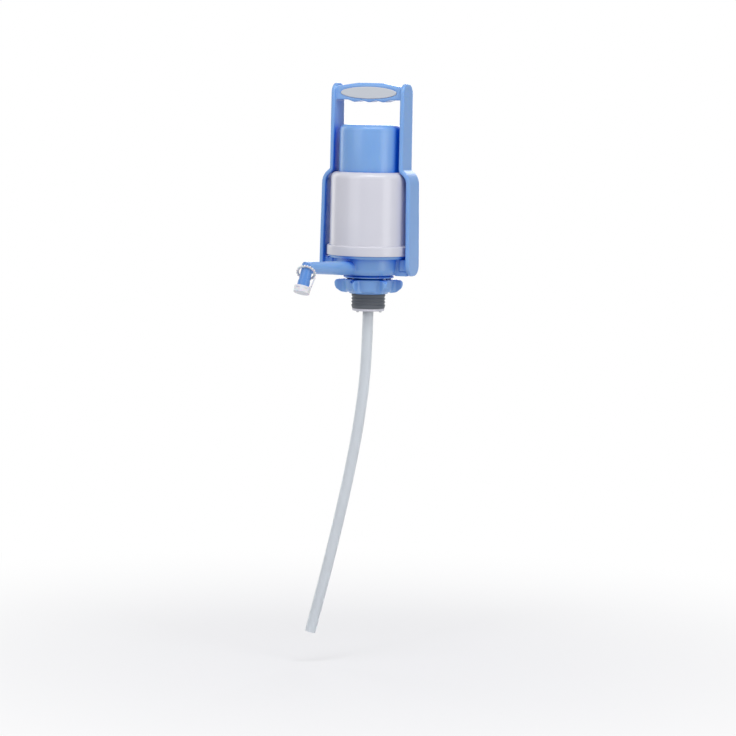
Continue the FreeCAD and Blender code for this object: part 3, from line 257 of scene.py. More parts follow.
def milky_hose():
    """Low density polythene, extruded: a milky tube that light passes, with faint draw lines.
    Real lines are finer than a tenth of a millimetre, and are drawn 2.5 mm apart to show."""
    line_mm, line_run = 2.5, 0.05
    brightest, dullest = 0.26, 0.44
    material, tree, place = new_material("milky_polythene_hose")
    draw = add(tree, "ShaderNodeMapping", {"Vector": place, "Scale": (1.0, 1.0, line_run)})
    lines = add(
        tree, "ShaderNodeTexNoise",
        {"Vector": draw.outputs["Vector"], "Scale": per_metre(line_mm), "Detail": 3.0},
    )
    gloss = add(
        tree, "ShaderNodeMapRange",
        {"Value": lines.outputs["Fac"], "To Min": brightest, "To Max": dullest},
    )
    shader = add(
        tree, "ShaderNodeBsdfPrincipled",
        {
            "Base Color": linear("#E8EDF2"),
            "Roughness": gloss.outputs["Result"],
            "IOR": 1.51,
            "Transmission Weight": 0.5,
        },
    )
    add(tree, "ShaderNodeOutputMaterial", {"Surface": shader.outputs["BSDF"]})
    return material


STEEL = turned_steel()
HOSE_PLASTIC = milky_hose()


def give(obj, material):
    """Makes a material the only one on an object."""
    obj.data.materials.clear()
    obj.data.materials.append(material)


# Shapes, in millimetres until they are finished

def rounded(corners, steps=5):
    """The closed outline of (across, up[, rounding]) corners, its round corners as arcs."""
    outline = []
    for i, corner in enumerate(corners):
        here = Vector(corner[:2])
        rounding = corner[2] if len(corner) > 2 else 0.0
        if not rounding:
            outline.append(here)
            continue
        back = (Vector(corners[i - 1][:2]) - here).normalized()
        ahead = (Vector(corners[(i + 1) % len(corners)][:2]) - here).normalized()
        half = back.angle(ahead) / 2
        centre = here + (back + ahead).normalized() * (rounding / math.sin(half))
        first = here + back * (rounding / math.tan(half)) - centre
        sweep = first.angle_signed(here + ahead * (rounding / math.tan(half)) - centre)
        for k in range(steps + 1):
            outline.append(centre + Matrix.Rotation(-sweep * k / steps, 2) @ first)
    return outline


def lathed(corners, place=Matrix(), steps=144):
    """The rounded outline of (radius, level) corners, turned about the local Z axis."""
    shape = bmesh.new()
    outline = rounded(corners)
    rings = []
    for k in range(steps):
        cosine, sine = math.cos(FULL_TURN * k / steps), math.sin(FULL_TURN * k / steps)
        rings.append([
            shape.verts.new(place @ Vector((p.x * cosine, p.x * sine, p.y))) for p in outline
        ])
    for k, ring in enumerate(rings):
        after = rings[(k + 1) % steps]
        for i in range(len(outline)):
            j = (i + 1) % len(outline)
            shape.faces.new((ring[i], after[i], after[j], ring[j]))
    return tidy(shape)


def prism(outline, low, high, steps=1):
    """A flat outline raised from one level to another, in a number of layers."""
    shape = bmesh.new()
    layers = [
        [shape.verts.new((p.x, p.y, low + (high - low) * k / steps)) for p in outline]
        for k in range(steps + 1)
    ]
    shape.faces.new(layers[0])
    shape.faces.new(layers[-1])
    for here, above in zip(layers, layers[1:]):
        for i in range(len(outline)):
            j = (i + 1) % len(outline)
            shape.faces.new((here[i], here[j], above[j], above[i]))
    return tidy(shape)


def packed(node):
    """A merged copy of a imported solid, in millimetres."""
    shape = bmesh.new()
    shape.from_mesh(frame["nodes"][node].data)
    bmesh.ops.scale(shape, vec=(1 / MM, 1 / MM, 1 / MM), verts=shape.verts)
    bmesh.ops.remove_doubles(shape, verts=shape.verts, dist=0.004)
    return shape


def tidy(shape):
    """Doubles merged, then every face turned outwards."""
    bmesh.ops.remove_doubles(shape, verts=shape.verts, dist=0.002)
    bmesh.ops.recalc_face_normals(shape, faces=shape.faces)
    return shape


def evaluated(obj):
    """What an object's modifiers make of it, as a shape of its own; the object goes."""
    graph = bpy.context.evaluated_depsgraph_get()
    mesh = bpy.data.meshes.new_from_object(obj.evaluated_get(graph))
    shape = bmesh.new()
    shape.from_mesh(mesh)
    bpy.data.meshes.remove(mesh)
    bpy.data.objects.remove(obj)
    return shape


def holder(shape=None):
    """An object to put modifiers on."""
    mesh = bpy.data.meshes.new("holder")
    if shape:
        shape.to_mesh(mesh)
        shape.free()
    obj = bpy.data.objects.new("holder", mesh)
    bpy.context.scene.collection.objects.link(obj)
    return obj


def softened(shape, grain, passes):
    """The shape with its parts fused and its edges rounded over, as a mould leaves them."""
    obj = holder(shape)
    fuse = obj.modifiers.new("fuse", "REMESH")
    fuse.mode = "VOXEL"
    fuse.voxel_size = grain
    ease = obj.modifiers.new("ease", "SMOOTH")
    ease.factor, ease.iterations = 0.5, passes
    return evaluated(obj)


def joined(*shapes):
    """Several shapes as one."""
    whole = shapes[0]
    for shape in shapes[1:]:
        mesh = bpy.data.meshes.new("joined")
        shape.to_mesh(mesh)
        shape.free()
        whole.from_mesh(mesh)
        bpy.data.meshes.remove(mesh)
    return whole


SHARP, SOFT = 38.0, 80.0  # degrees past which an edge shows as a crease


def piece(name, shape, material, body, slot, *nodes, crease=SHARP):
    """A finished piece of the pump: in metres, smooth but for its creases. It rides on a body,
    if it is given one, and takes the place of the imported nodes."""
    bmesh.ops.scale(shape, vec=(MM, MM, MM), verts=shape.verts)
    for face in shape.faces:
        face.smooth = True
    for edge in shape.edges:
        edge.smooth = edge.calc_face_angle(0.0) < math.radians(crease)
    mesh = bpy.data.meshes.new(name)
    shape.to_mesh(mesh)
    shape.free()
    obj = bpy.data.objects.new(name, mesh)
    bpy.context.scene.collection.objects.link(obj)
    give(obj, material)
    if body:
        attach(obj, body)
    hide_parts(*nodes)
    return obj


def levels(node):
    """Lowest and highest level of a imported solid, and half its width, in millimetres."""
    low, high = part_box(node)
    return low[2] / MM, high[2] / MM, (high[0] - low[0]) / 2 / MM


def axes(origin, up, side):
    """A place with its Z axis along up and its Y axis along side."""
    place = Matrix((side.cross(up), side, up)).transposed().to_4x4()
    place.translation = origin
    return place


def turned(degrees, axis):
    """A turn about one of the axes."""
    return Matrix.Rotation(math.radians(degrees), 4, axis)


def moved(x=0.0, y=0.0, z=0.0):
    """A move, in millimetres."""
    return Matrix.Translation((x, y, z))


# Geometry Nodes: what repeats, or follows a rule

def new_tree(name, **sockets):
    """A tree with named inputs, their kinds given as NodeSocket names without that word."""
    tree = bpy.data.node_groups.new(name, "GeometryNodeTree")
    for label, kind in sockets.items():
        tree.interface.new_socket(name=label, in_out="INPUT", socket_type="NodeSocket" + kind)
    tree.interface.new_socket(name="Shape", in_out="OUTPUT", socket_type="NodeSocketGeometry")
    return tree, add(tree, "NodeGroupInput").outputs


def close_tree(tree, shape, finish):
    """Ends a tree in real, finished geometry."""
    real = add(tree, "GeometryNodeRealizeInstances", {"Geometry": shape})
    done = add(tree, "GeometryNodeSetMaterial", {"Geometry": real.outputs[0], "Material": finish})
    add(tree, "NodeGroupOutput", {0: done.outputs[0]})
    return tree


def copies_tree():
    """Copies of one shape round the Z axis, each turned to face outwards."""
    tree, given = new_tree("copies_round_an_axis", Model="Object", Count="Int", Finish="Material")
    spots = add(tree, "GeometryNodePoints", {"Count": given["Count"]})
    index = add(tree, "GeometryNodeInputIndex").outputs[0]
    turn = add(
        tree, "ShaderNodeMapRange",
        {"Value": index, "From Max": given["Count"], "To Max": FULL_TURN},
    )
    way = add(tree, "ShaderNodeCombineXYZ", {"Z": turn.outputs["Result"]})
    model = add(tree, "GeometryNodeObjectInfo", {"Object": given["Model"]})
    copies = add(
        tree, "GeometryNodeInstanceOnPoints",
        {
            "Points": spots.outputs[0],
            "Instance": model.outputs["Geometry"],
            "Rotation": way.outputs[0],
        },
    )
    return close_tree(tree, copies.outputs[0], given["Finish"])


COIL_STEPS = 60  # points to each turn of the spring


def coil_tree():
    """A wire wound round the Z axis, its first and last turns closed on their neighbours."""
    tree, given = new_tree(
        "coil_with_closed_ends", Points="Int", Turns="Float", Radius="Float", Wire_radius="Float",
        Low="Float", Closed_rise="Float", Open_rise="Float", Finish="Material",
    )
    line = add(tree, "GeometryNodeMeshLine", {"Count": given["Points"]})
    index = add(tree, "GeometryNodeInputIndex").outputs[0]
    turn = add(tree, "ShaderNodeMath", {0: index, 1: COIL_STEPS}, operation="DIVIDE").outputs[0]
    last = add(tree, "ShaderNodeMath", {0: given["Turns"], 1: 1.0}, operation="SUBTRACT").outputs[0]
    level = given["Low"]
    for start, end, rise in (
        (0.0, 1.0, given["Closed_rise"]),
        (1.0, last, given["Open_rise"]),
        (last, given["Turns"], given["Closed_rise"]),
    ):
        gained = add(
            tree, "ShaderNodeMapRange",
            {"Value": turn, "From Min": start, "From Max": end, "To Max": rise},
        )
        level = add(
            tree, "ShaderNodeMath", {0: level, 1: gained.outputs["Result"]}, operation="ADD"
        ).outputs[0]
    angle = add(tree, "ShaderNodeMath", {0: turn, 1: FULL_TURN}, operation="MULTIPLY")
    spot = add(tree, "ShaderNodeCombineXYZ", {"X": given["Radius"], "Z": level})
    wound = add(
        tree, "ShaderNodeVectorRotate", {"Vector": spot.outputs[0], "Angle": angle.outputs[0]},
        rotation_type="Z_AXIS",
    )
    coil = add(
        tree, "GeometryNodeSetPosition", {"Geometry": line.outputs[0], "Position": wound.outputs[0]}
    )
    path = add(tree, "GeometryNodeMeshToCurve", {"Mesh": coil.outputs[0]})
    section = add(
        tree, "GeometryNodeCurvePrimitiveCircle", {"Resolution": 14, "Radius": given["Wire_radius"]}
    )
    wire = add(
        tree, "GeometryNodeCurveToMesh",
        {"Curve": path.outputs[0], "Profile Curve": section.outputs[0], "Fill Caps": True},
    )
    return close_tree(tree, wire.outputs[0], given["Finish"])


def teeth_tree():
    """Copies of one tooth, evenly spaced from one point to another."""
    tree, given = new_tree(
        "teeth_along_a_strap", Model="Object", Start="Vector", End="Vector", Count="Int",
        Finish="Material",
    )
    line = add(
        tree, "GeometryNodeMeshLine",
        {"Count": given["Count"], "Start Location": given["Start"], "Offset": given["End"]},
        mode="END_POINTS",
    )
    model = add(tree, "GeometryNodeObjectInfo", {"Object": given["Model"]})
    copies = add(
        tree, "GeometryNodeInstanceOnPoints",
        {"Points": line.outputs[0], "Instance": model.outputs["Geometry"]},
    )
    return close_tree(tree, copies.outputs[0], given["Finish"])


COPIES, COIL, TEETH = copies_tree(), coil_tree(), teeth_tree()


def grown(tree, model=None, **values):
    """What a tree makes of the given inputs, as a shape; the model is left out of the scene."""
    obj = holder()
    modifier = obj.modifiers.new("grow", "NODES")
    modifier.node_group = tree
    if model:
        values["Model"] = holder(model)
    for socket in tree.interface.items_tree:
        if socket.in_out == "INPUT":
            modifier[socket.identifier] = values[socket.name]
    shape = evaluated(obj)
    if model:
        bpy.data.objects.remove(values["Model"])
    return tidy(shape)


# The dip hose: one free cord that hangs from the barb and bends away to one side.
# The points of its line are given as (away from the axis, level).

HOSE_TURN = math.radians(203.0)
HOSE_POINTS = [
    (0.0, -5.6), (0.0, -84.6), (8.78, -168.14), (22.67, -246.92), (38.47, -321.26),
    (54.22, -389.47), (68.25, -445.75),
]


def hose_route():
    """The hose's line: a smooth spline through its few bends, read back as points in metres."""
    data = bpy.data.curves.new("hose_route", "CURVE")
    data.dimensions = "3D"
    spline = data.splines.new("NURBS")
    spline.points.add(len(HOSE_POINTS) - 1)
    for point, (away, level) in zip(spline.points, HOSE_POINTS):
        x, y = away * math.cos(HOSE_TURN), away * math.sin(HOSE_TURN)
        point.co = (x * MM, y * MM, level * MM, 1.0)
    spline.order_u = 3
    spline.use_endpoint_u = True
    data.resolution_u = 16
    route = bpy.data.objects.new("hose_route", data)
    bpy.context.scene.collection.objects.link(route)
    graph = bpy.context.evaluated_depsgraph_get()
    line = bpy.data.meshes.new_from_object(route.evaluated_get(graph))
    points = [vert.co.copy() for vert in line.vertices]
    bpy.data.meshes.remove(line)
    bpy.data.objects.remove(route)
    return points


def make_hose():
    """A hollow tube on that line, cut square and open at both ends."""
    outer, bore, around = 7.0, 5.0, 40
    points = [p / MM for p in hose_route()]
    side = Vector((-math.sin(HOSE_TURN), math.cos(HOSE_TURN), 0))
    ways_out = [
        Vector((math.cos(FULL_TURN * k / around), math.sin(FULL_TURN * k / around), 0))
        for k in range(around)
    ]
    hose = bmesh.new()
    rings = []
    for i, point in enumerate(points):
        way = (points[min(i + 1, len(points) - 1)] - points[max(i - 1, 0)]).normalized()
        place = axes(point, way, side)
        rings.append([
            [hose.verts.new(place @ (out * radius)) for out in ways_out] for radius in (outer, bore)
        ])
    for k in range(around):
        j = (k + 1) % around
        for here, after in zip(rings, rings[1:]):
            hose.faces.new((here[0][k], here[0][j], after[0][j], after[0][k]))
            hose.faces.new((here[1][k], after[1][k], after[1][j], here[1][j]))
        for end in (rings[0], rings[-1]):
            hose.faces.new((end[0][k], end[1][k], end[1][j], end[0][j]))
    tube = piece("dip_hose_piece", tidy(hose), HOSE_PLASTIC, "pump_body", "clear_hose", "dip_hose")


make_hose()


# The pump's pieces. The frame gives the places: the joints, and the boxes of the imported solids.

RIM, BARREL_TOP, FOOT_RADIUS = levels("barrel")
PISTON_TOP, CAP_TOP, CAP_RADIUS = levels("push_cap")
SPRING_LOW, SPRING_HIGH, SPRING_EDGE = levels("return_spring")

SWING = next(j for j in frame["record"]["behaviour"]["joints"] if j["name"] == "tether_swing")
ELBOW = Vector(SWING["pos_m"]) / MM
NOZZLE_WAY = Vector(SWING["axis"]).normalized()
SPOUT_SIDE = Vector((-ELBOW.y, ELBOW.x, 0)).normalized()
SPOUT_START = Vector((0, 0, 32.6))
SPOUT_WAY = (ELBOW - SPOUT_START).normalized()
NOZZLE = axes(ELBOW, -NOZZLE_WAY, SPOUT_SIDE)


def make_barrel():
    """White cylinder: foot ring, half a degree of draft, a round shoulder and a thick lip."""
    wall, bore, mouth, draft, shoulder = 51.75, 48.55, 42.2, 0.5, 8.4
    foot, lip = RIM + 12.4, BARREL_TOP - 8.0
    shape = lathed([
        (bore, RIM), (FOOT_RADIUS, RIM, 0.7), (FOOT_RADIUS, foot, 1.6), (wall, foot + 0.5, 0.4),
        (wall - draft, BARREL_TOP, shoulder), (mouth, BARREL_TOP, 0.6), (mouth, lip), (bore, lip),
    ])
    piece("barrel_piece", shape, WHITE_PLASTIC, "pump_body", "white_plastic", "barrel")


def make_push_cap():
    """Palm button: a crowned cup, with its four screw bosses inside."""
    wall, draft, edge, crown = 2.6, 0.3, 7.6, 0.8
    inner, shoulder, mouth = CAP_RADIUS - wall, CAP_TOP - crown, PISTON_TOP + 0.02
    cup = lathed([
        (0, CAP_TOP), (CAP_RADIUS * 0.55, CAP_TOP - crown * 0.3, 60.0),
        (CAP_RADIUS - draft, shoulder, edge), (CAP_RADIUS, mouth, 0.5), (inner, mouth),
        (inner - draft, shoulder - wall, edge - wall), (0, CAP_TOP - wall),
    ])
    boss, hole, tall, blind = 3.6, 1.4, 17.0, 3.0
    post = lathed([
        (hole, PISTON_TOP), (boss, PISTON_TOP), (boss, PISTON_TOP + tall, 0.6),
        (0, PISTON_TOP + tall), (0, PISTON_TOP + tall - blind), (hole, PISTON_TOP + tall - blind),
    ], moved(x=inner - boss + 0.6), steps=24)
    shape = joined(cup, grown(COPIES, post, Count=4, Finish=BLUE_PLASTIC))
    piece("push_cap_piece", shape, BLUE_PLASTIC, "plunger", "blue_plastic", "push_cap")


def make_handle_frame():
    """Straps, bar and feet in one moulding: every edge runs over into the next face."""
    shape = softened(packed("handle_frame"), grain=0.9, passes=6)
    piece(
        "handle_frame_piece", shape, BLUE_PLASTIC, "pump_body", "blue_plastic", "handle_frame",
        crease=SOFT,
    )


def make_grip_pads():
    """Pale oval pads, crowned, let into both sides of the bar."""
    for node in ("grip_pad_front", "grip_pad_rear"):
        shape = softened(packed(node), grain=0.4, passes=5)
        piece(node + "_piece", shape, PAD_RUBBER, "pump_body", "pad_grey", node, crease=SOFT)


def make_base():
    """Flared rim, drafted body, groove and shoulder ring, with the deck and ducts inside."""
    shape = softened(packed("base"), grain=0.62, passes=2)
    piece("base_piece", shape, BLUE_PLASTIC, "pump_body", "blue_plastic", "base", crease=SOFT)


def mitred(shape, keep):
    """The tube cut on the elbow's mitre, its end closed; keep is the side that stays."""
    cut = bmesh.ops.bisect_plane(
        shape, geom=shape.verts[:] + shape.edges[:] + shape.faces[:], dist=0.0001, plane_co=ELBOW,
        plane_no=(SPOUT_WAY + NOZZLE_WAY) * keep, clear_inner=True,
    )
    edges = [part for part in cut["geom_cut"] if isinstance(part, bmesh.types.BMEdge)]
    bmesh.ops.bridge_loops(shape, edges=edges)
    return tidy(shape)


def make_spout():
    """Tapered spout out of the base's socket, with the plug that seats in it."""
    bore, plug, root, tip, socket, seat = 5.0, 7.0, 9.3, 7.2, 43.6, 13.0
    past = (ELBOW - SPOUT_START).length + 14.0
    spout = lathed([
        (bore, socket - seat), (plug, socket - seat, 0.6), (plug, socket), (root, socket, 1.0),
        (tip, past), (bore, past),
    ], axes(SPOUT_START, SPOUT_WAY, SPOUT_SIDE), steps=96)
    piece("spout_piece", mitred(spout, -1), BLUE_PLASTIC, "pump_body", "blue_plastic", "spout_tube")


def make_nozzle():
    """The deeper blue nozzle that meets the spout on a mitre, stepped out at its beaded end."""
    bore, side, band, bead, mouth, step, past = 4.4, 7.1, 7.7, 8.3, -31.6, -17.8, 14.0
    nozzle = lathed([
        (bore, mouth, 0.5), (bead, mouth, 0.8), (bead, mouth + 2.6, 0.3), (band, mouth + 3.2, 0.2),
        (band, step, 0.2), (side, step + 0.8, 0.3), (side, past), (bore, past),
    ], NOZZLE, steps=96)
    piece(
        "nozzle_piece", mitred(nozzle, 1), NOZZLE_PLASTIC, "pump_body", "deep_blue_plastic",
        "outlet_nozzle",
    )


def make_tether_ring():
    """Beads on a thin ring that leans on the nozzle."""
    level, tilt, high_side = -6.5, 34.0, 35.5
    bore, edge, half_thick, soft, bead, beads = 9.3, 11.2, 0.75, 0.5, 1.4, 20
    band = lathed([
        (bore, -half_thick, soft), (edge, -half_thick, soft), (edge, half_thick, soft),
        (bore, half_thick, soft),
    ], steps=96)
    ball = bmesh.new()
    bmesh.ops.create_icosphere(ball, subdivisions=3, radius=bead, matrix=moved(x=edge + 0.3))
    ring = joined(band, grown(COPIES, ball, Count=beads, Finish=CAP_PLASTIC))
    ring.transform(NOZZLE @ moved(z=level) @ turned(high_side, "Z") @ turned(-tilt, "Y"))
    piece("tether_ring_piece", ring, CAP_PLASTIC, "tether", "white_plastic", "tether_ring")


def make_tether():
    """The toothed strap from the ring down to the cap."""
    side, half_width, half_skin, soft = 128.0, 2.0, 0.6, 0.35
    pitch, tooth, root, tip = 1.9, 0.75, 0.55, 0.3
    foot, top = Vector((9.6, 0, -24.7)), Vector((12.0, 0, -9.4))
    way, across = (top - foot).normalized(), Vector((0, 1, 0))
    outwards = Vector((way.z, 0, -way.x))
    face = outwards * half_skin
    section = rounded([
        (-half_skin, -half_width, soft), (half_skin, -half_width, soft),
        (half_skin, half_width, soft), (-half_skin, half_width, soft),
    ])
    strap = prism(section, 0, (top - foot).length, steps=24)
    strap.transform(axes(foot, way, across))
    cog = prism(
        rounded([(-root, 0), (root, 0), (tip, tooth, 0.25), (-tip, tooth, 0.25)]),
        -half_width, half_width,
    )
    cog.transform(Matrix((way, outwards, across)).transposed().to_4x4())
    teeth = grown(
        TEETH, cog, Start=foot + face + way * 1.2, End=top + face - way * 1.0,
        Count=int((top - foot).length / pitch), Finish=CAP_PLASTIC,
    )
    strap = joined(strap, teeth)
    place = NOZZLE @ turned(side, "Z")
    strap.transform(place)
    tether = piece("cap_tether_piece", strap, CAP_PLASTIC, None, "white_plastic", "cap_tether")
    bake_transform(tether)


def wing_level(across, share, low, high, side, reach):
    """A wing's upper edge falls away near its tip, and its lower edge sweeps up to the tip."""
    root, drop, sweep = side - 4, 4.6, 12.0
    out = min(max((across - root) / (reach - root), 0.0), 0.999)
    top = high - 0.4 - drop * (1 - math.sqrt(1 - out ** 6))
    under = low + 1.4 + sweep * (1 - math.sqrt(1 - out ** 2.6))
    return under + (top - under) * share


def make_collar():
    """Winged collar: a lathed cup, and six rounded wings that flare out of its side."""
    low, high, _ = levels("locking_collar")
    bore, recess, foot, waist, side, wall = 19.3, 22.9, 25.2, 31.2, 33.2, 2.6
    floor, deck = low + 2.3, low + 7.7
    cup = lathed([
        (bore, low + 1.9), (recess, low + 1.9), (recess, low), (foot, low, 0.5), (foot, low + 2.0),
        (waist, floor, 4.0), (side, high, 1.2), (side - wall, high, 0.6), (waist - wall, deck, 1.0),
        (bore + wall, deck, 1.0), (bore + wall, high, 0.6), (bore, high, 0.4),
    ])
    reach, thick, flare, root, first = 44.4, 3.4, 5.2, 28.0, 23.0
    plan = rounded([
        (root, -thick - flare), (side + 1.2, -thick, flare), (reach, -thick, 3.0),
        (reach, thick, 3.0), (side + 1.2, thick, flare), (root, thick + flare),
    ], steps=8)
    wing = prism(plan, low, high, steps=40)
    for vert in wing.verts:
        share = (vert.co.z - low) / (high - low)
        vert.co.z = wing_level(vert.co.x, share, low, high, side, reach)
    wing.transform(turned(first, "Z"))
    shape = joined(cup, grown(COPIES, wing, Count=6, Finish=BLUE_PLASTIC))
    piece(
        "collar_piece", softened(shape, grain=0.55, passes=4), BLUE_PLASTIC, "collar",
        "blue_plastic", "locking_collar", crease=SOFT,
    )


def make_dust_cap():
    """Waxy white cap, every edge eased."""
    shape = softened(packed("dust_cap"), grain=0.3, passes=4)
    piece("dust_cap_piece", shape, CAP_PLASTIC, "dust_cap", "white_plastic", "dust_cap", crease=SOFT)


def make_spring():
    """Return spring: eight turns of steel wire, with closed turns at both ends."""
    turns, wire, gap = 8, 2.2, 0.5
    closed = wire + gap
    shape = grown(
        COIL, Points=turns * COIL_STEPS + 1, Turns=float(turns), Radius=SPRING_EDGE - wire / 2,
        Wire_radius=wire / 2, Low=SPRING_LOW + wire / 2, Closed_rise=closed,
        Open_rise=SPRING_HIGH - SPRING_LOW - wire - 2 * closed, Finish=STEEL,
    )
    spring = piece("return_spring_piece", shape, STEEL, "pump_body", "steel", "return_spring")
    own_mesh(spring)


def make_neck_bung():
    """Rubber bung with three sealing ribs, tapered at its foot."""
    low, high, edge = levels("neck_bung")
    bore, valley, taper, rib_pitch = 19.0, edge - 0.9, 1.0, 4.2
    corners = [(bore, high), (edge, high, 0.6), (edge, high - 3.0, 0.6)]
    for rib in range(3):
        level = high - 3.6 - rib_pitch * rib
        corners += [
            (valley, level, 0.3), (valley, level - 1.6, 0.3), (edge, level - 2.2, 0.4),
            (edge, level - 3.6, 0.4),
        ]
    corners += [(edge - taper, low, 0.6), (bore, low)]
    piece("neck_bung_piece", lathed(corners), GREY_RUBBER, "pump_body", "grey_rubber", "neck_bung")


HEAD_HEIGHT = 1.8


def screw(shank, head, length):
    """Pan head screw along +Z from under its head, with a cross recess and a blunt point."""
    body = lathed([
        (0, -HEAD_HEIGHT), (head, -HEAD_HEIGHT, 1.1), (head, 0, 0.2), (shank, 0),
        (shank, length - shank), (shank * 0.3, length), (0, length),
    ], steps=32)
    slot, reach, deep = head * 0.16, head * 0.6, 1.0
    quarter = [(-slot, -reach), (slot, -reach), (slot, -slot)]
    cross = []
    for _ in range(4):
        cross += [Vector(corner) for corner in quarter]
        quarter = [(-y, x) for x, y in quarter]
    tool = holder(prism(cross, -HEAD_HEIGHT - 1, -HEAD_HEIGHT + deep))
    obj = holder(body)
    cut = obj.modifiers.new("recess", "BOOLEAN")
    cut.operation, cut.solver, cut.object = "DIFFERENCE", "EXACT", tool
    shape = evaluated(obj)
    bpy.data.objects.remove(tool)
    return shape


def make_screws():
    """Steel screws: three up into the spigot, four into the palm button, two into each foot."""
    low = levels("bung_retainer")[0]
    one = screw(shank=1.1, head=2.0, length=9.0)
    one.transform(moved(x=17.0, z=low))
    shape = grown(COPIES, one, Count=3, Finish=STEEL)
    piece("retainer_screw_pieces", shape, STEEL, "pump_body", "steel", "retainer_screws")

    low, _, half = levels("piston_screws")
    head = 2.8
    one = screw(shank=1.5, head=head, length=15.0)
    one.transform(moved(x=half - head, z=low + HEAD_HEIGHT))
    shape = grown(COPIES, one, Count=4, Finish=STEEL)
    piece("piston_screw_pieces", shape, STEEL, "plunger", "steel", "piston_screws")

    low, _, half = levels("handle_screws")
    head = 3.4
    pair = []
    for side in (-5.0, 5.0):
        one = screw(shank=1.9, head=head, length=14.0)
        one.transform(moved(x=half - head, y=side, z=low + HEAD_HEIGHT))
        pair.append(one)
    shape = grown(COPIES, joined(*pair), Count=2, Finish=STEEL)
    piece("handle_screw_pieces", shape, STEEL, "pump_body", "steel", "handle_screws")


make_barrel()
make_push_cap()
make_handle_frame()
make_grip_pads()
make_base()
make_spout()
make_nozzle()
make_tether_ring()
make_tether()
make_collar()
make_dust_cap()
make_spring()
make_neck_bung()
make_screws()


# Finishes of the solids that stay

FINISHES = {
    "piston": WHITE_PLASTIC, "guide_ring": WHITE_PLASTIC, "hose_barb": WHITE_PLASTIC,
    "bung_retainer": WHITE_PLASTIC, "slip_ring": CAP_PLASTIC, "barrel_seal": GREY_RUBBER,
    "piston_seal": GREY_RUBBER, "spout_seal": GREY_RUBBER, "barb_seal": GREY_RUBBER,
    "check_valve": GREY_RUBBER, "intake_valve": GREY_RUBBER,
}
for node, material in FINISHES.items():
    give(frame["nodes"][node], material)


# Floor, world and lamps

FLOOR_LEVEL = -0.488
FLOOR_HALF = 12.0
WHITE_OUT_START, WHITE_OUT_END = 0.2, 1.1  # metres from the pump's axis
WORLD_LIGHT = 0.5


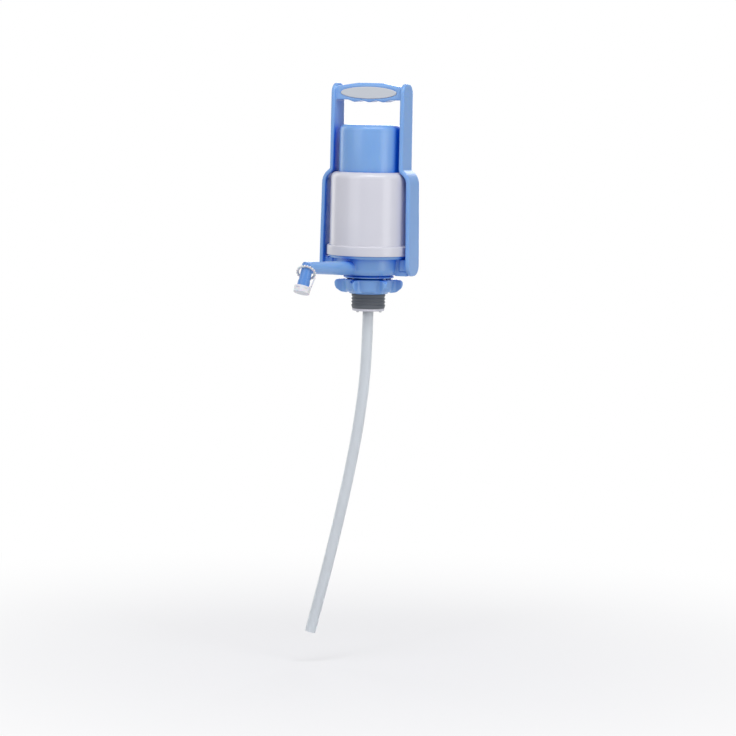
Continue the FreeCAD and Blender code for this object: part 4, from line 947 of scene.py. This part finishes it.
def make_floor():
    """A plain pale floor that keeps the shadow near the pump and runs out into white. From
    below it isn't there, so that views from under it are clear."""
    material, tree, place = new_material("pale_floor")
    reach = add(tree, "ShaderNodeVectorMath", {0: place}, operation="LENGTH")
    far = add(
        tree, "ShaderNodeMapRange",
        {"Value": reach.outputs["Value"], "From Min": WHITE_OUT_START, "From Max": WHITE_OUT_END},
        interpolation_type="SMOOTHSTEP",
    )
    rays = add(tree, "ShaderNodeLightPath").outputs
    seen = rays["Is Camera Ray"]
    for kind in ("Is Glossy Ray", "Is Transmission Ray"):
        seen = add(tree, "ShaderNodeMath", {0: seen, 1: rays[kind]}, operation="MAXIMUM").outputs[0]
    white = add(
        tree, "ShaderNodeMath", {0: seen, 1: far.outputs["Result"]}, operation="MULTIPLY"
    )
    paint = add(tree, "ShaderNodeBsdfDiffuse", {"Color": linear("#DDDDE0")})
    glow = add(tree, "ShaderNodeEmission", {"Color": linear("#FFFFFF"), "Strength": 1.0})
    top = add(
        tree, "ShaderNodeMixShader",
        {0: white.outputs[0], 1: paint.outputs["BSDF"], 2: glow.outputs["Emission"]},
    )
    under = add(tree, "ShaderNodeNewGeometry").outputs["Backfacing"]
    clear = add(tree, "ShaderNodeBsdfTransparent")
    both = add(
        tree, "ShaderNodeMixShader", {0: under, 1: top.outputs["Shader"], 2: clear.outputs["BSDF"]}
    )
    add(tree, "ShaderNodeOutputMaterial", {"Surface": both.outputs["Shader"]})
    mesh = bpy.data.meshes.new("floor")
    corners = [
        (x * FLOOR_HALF, y * FLOOR_HALF, FLOOR_LEVEL) for x, y in ((-1, -1), (1, -1), (1, 1), (-1, 1))
    ]
    mesh.from_pydata(corners, [], [(0, 1, 2, 3)])
    floor = bpy.data.objects.new("floor", mesh)
    bpy.context.scene.collection.objects.link(floor)
    give(floor, material)


def make_world():
    """Even white light all round, and plain white where the camera or a clear piece sees it."""
    world = bpy.data.worlds.new("studio")
    bpy.context.scene.world = world
    world.use_nodes = True
    tree = world.node_tree
    tree.nodes.clear()
    rays = add(tree, "ShaderNodeLightPath").outputs
    seen = add(
        tree, "ShaderNodeMath", {0: rays["Is Camera Ray"], 1: rays["Is Transmission Ray"]},
        operation="MAXIMUM",
    )
    strength = add(
        tree, "ShaderNodeMapRange",
        {"Value": seen.outputs["Value"], "To Min": WORLD_LIGHT, "To Max": 1.0},
    )
    light = add(
        tree, "ShaderNodeBackground",
        {"Color": linear("#FFFFFF"), "Strength": strength.outputs["Result"]},
    )
    add(tree, "ShaderNodeOutputWorld", {"Surface": light.outputs["Background"]})


LAMP_TARGET = Vector((0, 0, 0.1))


def add_lamp(name, turn, rise, reach, width, height, power):
    """A softbox at an azimuth and elevation in degrees, aimed at the pump's barrel."""
    data = bpy.data.lights.new(name, "AREA")
    data.shape = "RECTANGLE"
    data.size, data.size_y = width, height
    data.energy = power
    lamp = bpy.data.objects.new(name, data)
    bpy.context.scene.collection.objects.link(lamp)
    a, e = math.radians(turn), math.radians(rise)
    way = Vector((math.sin(a) * math.cos(e), -math.cos(a) * math.cos(e), math.sin(e)))
    lamp.location = way * reach + LAMP_TARGET
    lamp.rotation_mode = "QUATERNION"
    lamp.rotation_quaternion = way.to_track_quat("Z", "Y")


make_floor()
make_world()
add_lamp("key_softbox", -25, 24, reach=1.9, width=1.2, height=1.5, power=9)
add_lamp("fill_softbox", 72, 8, reach=2.1, width=0.9, height=1.7, power=11.5)
add_lamp("top_softbox", 32, 60, reach=1.7, width=1.8, height=0.5, power=19)
add_lamp("left_softbox", -110, 15, reach=2.2, width=0.9, height=1.4, power=6)
add_lamp("back_softbox", 190, 14, reach=2.0, width=1.2, height=1.3, power=14)
bpy.context.scene.view_settings.view_transform = "Standard"
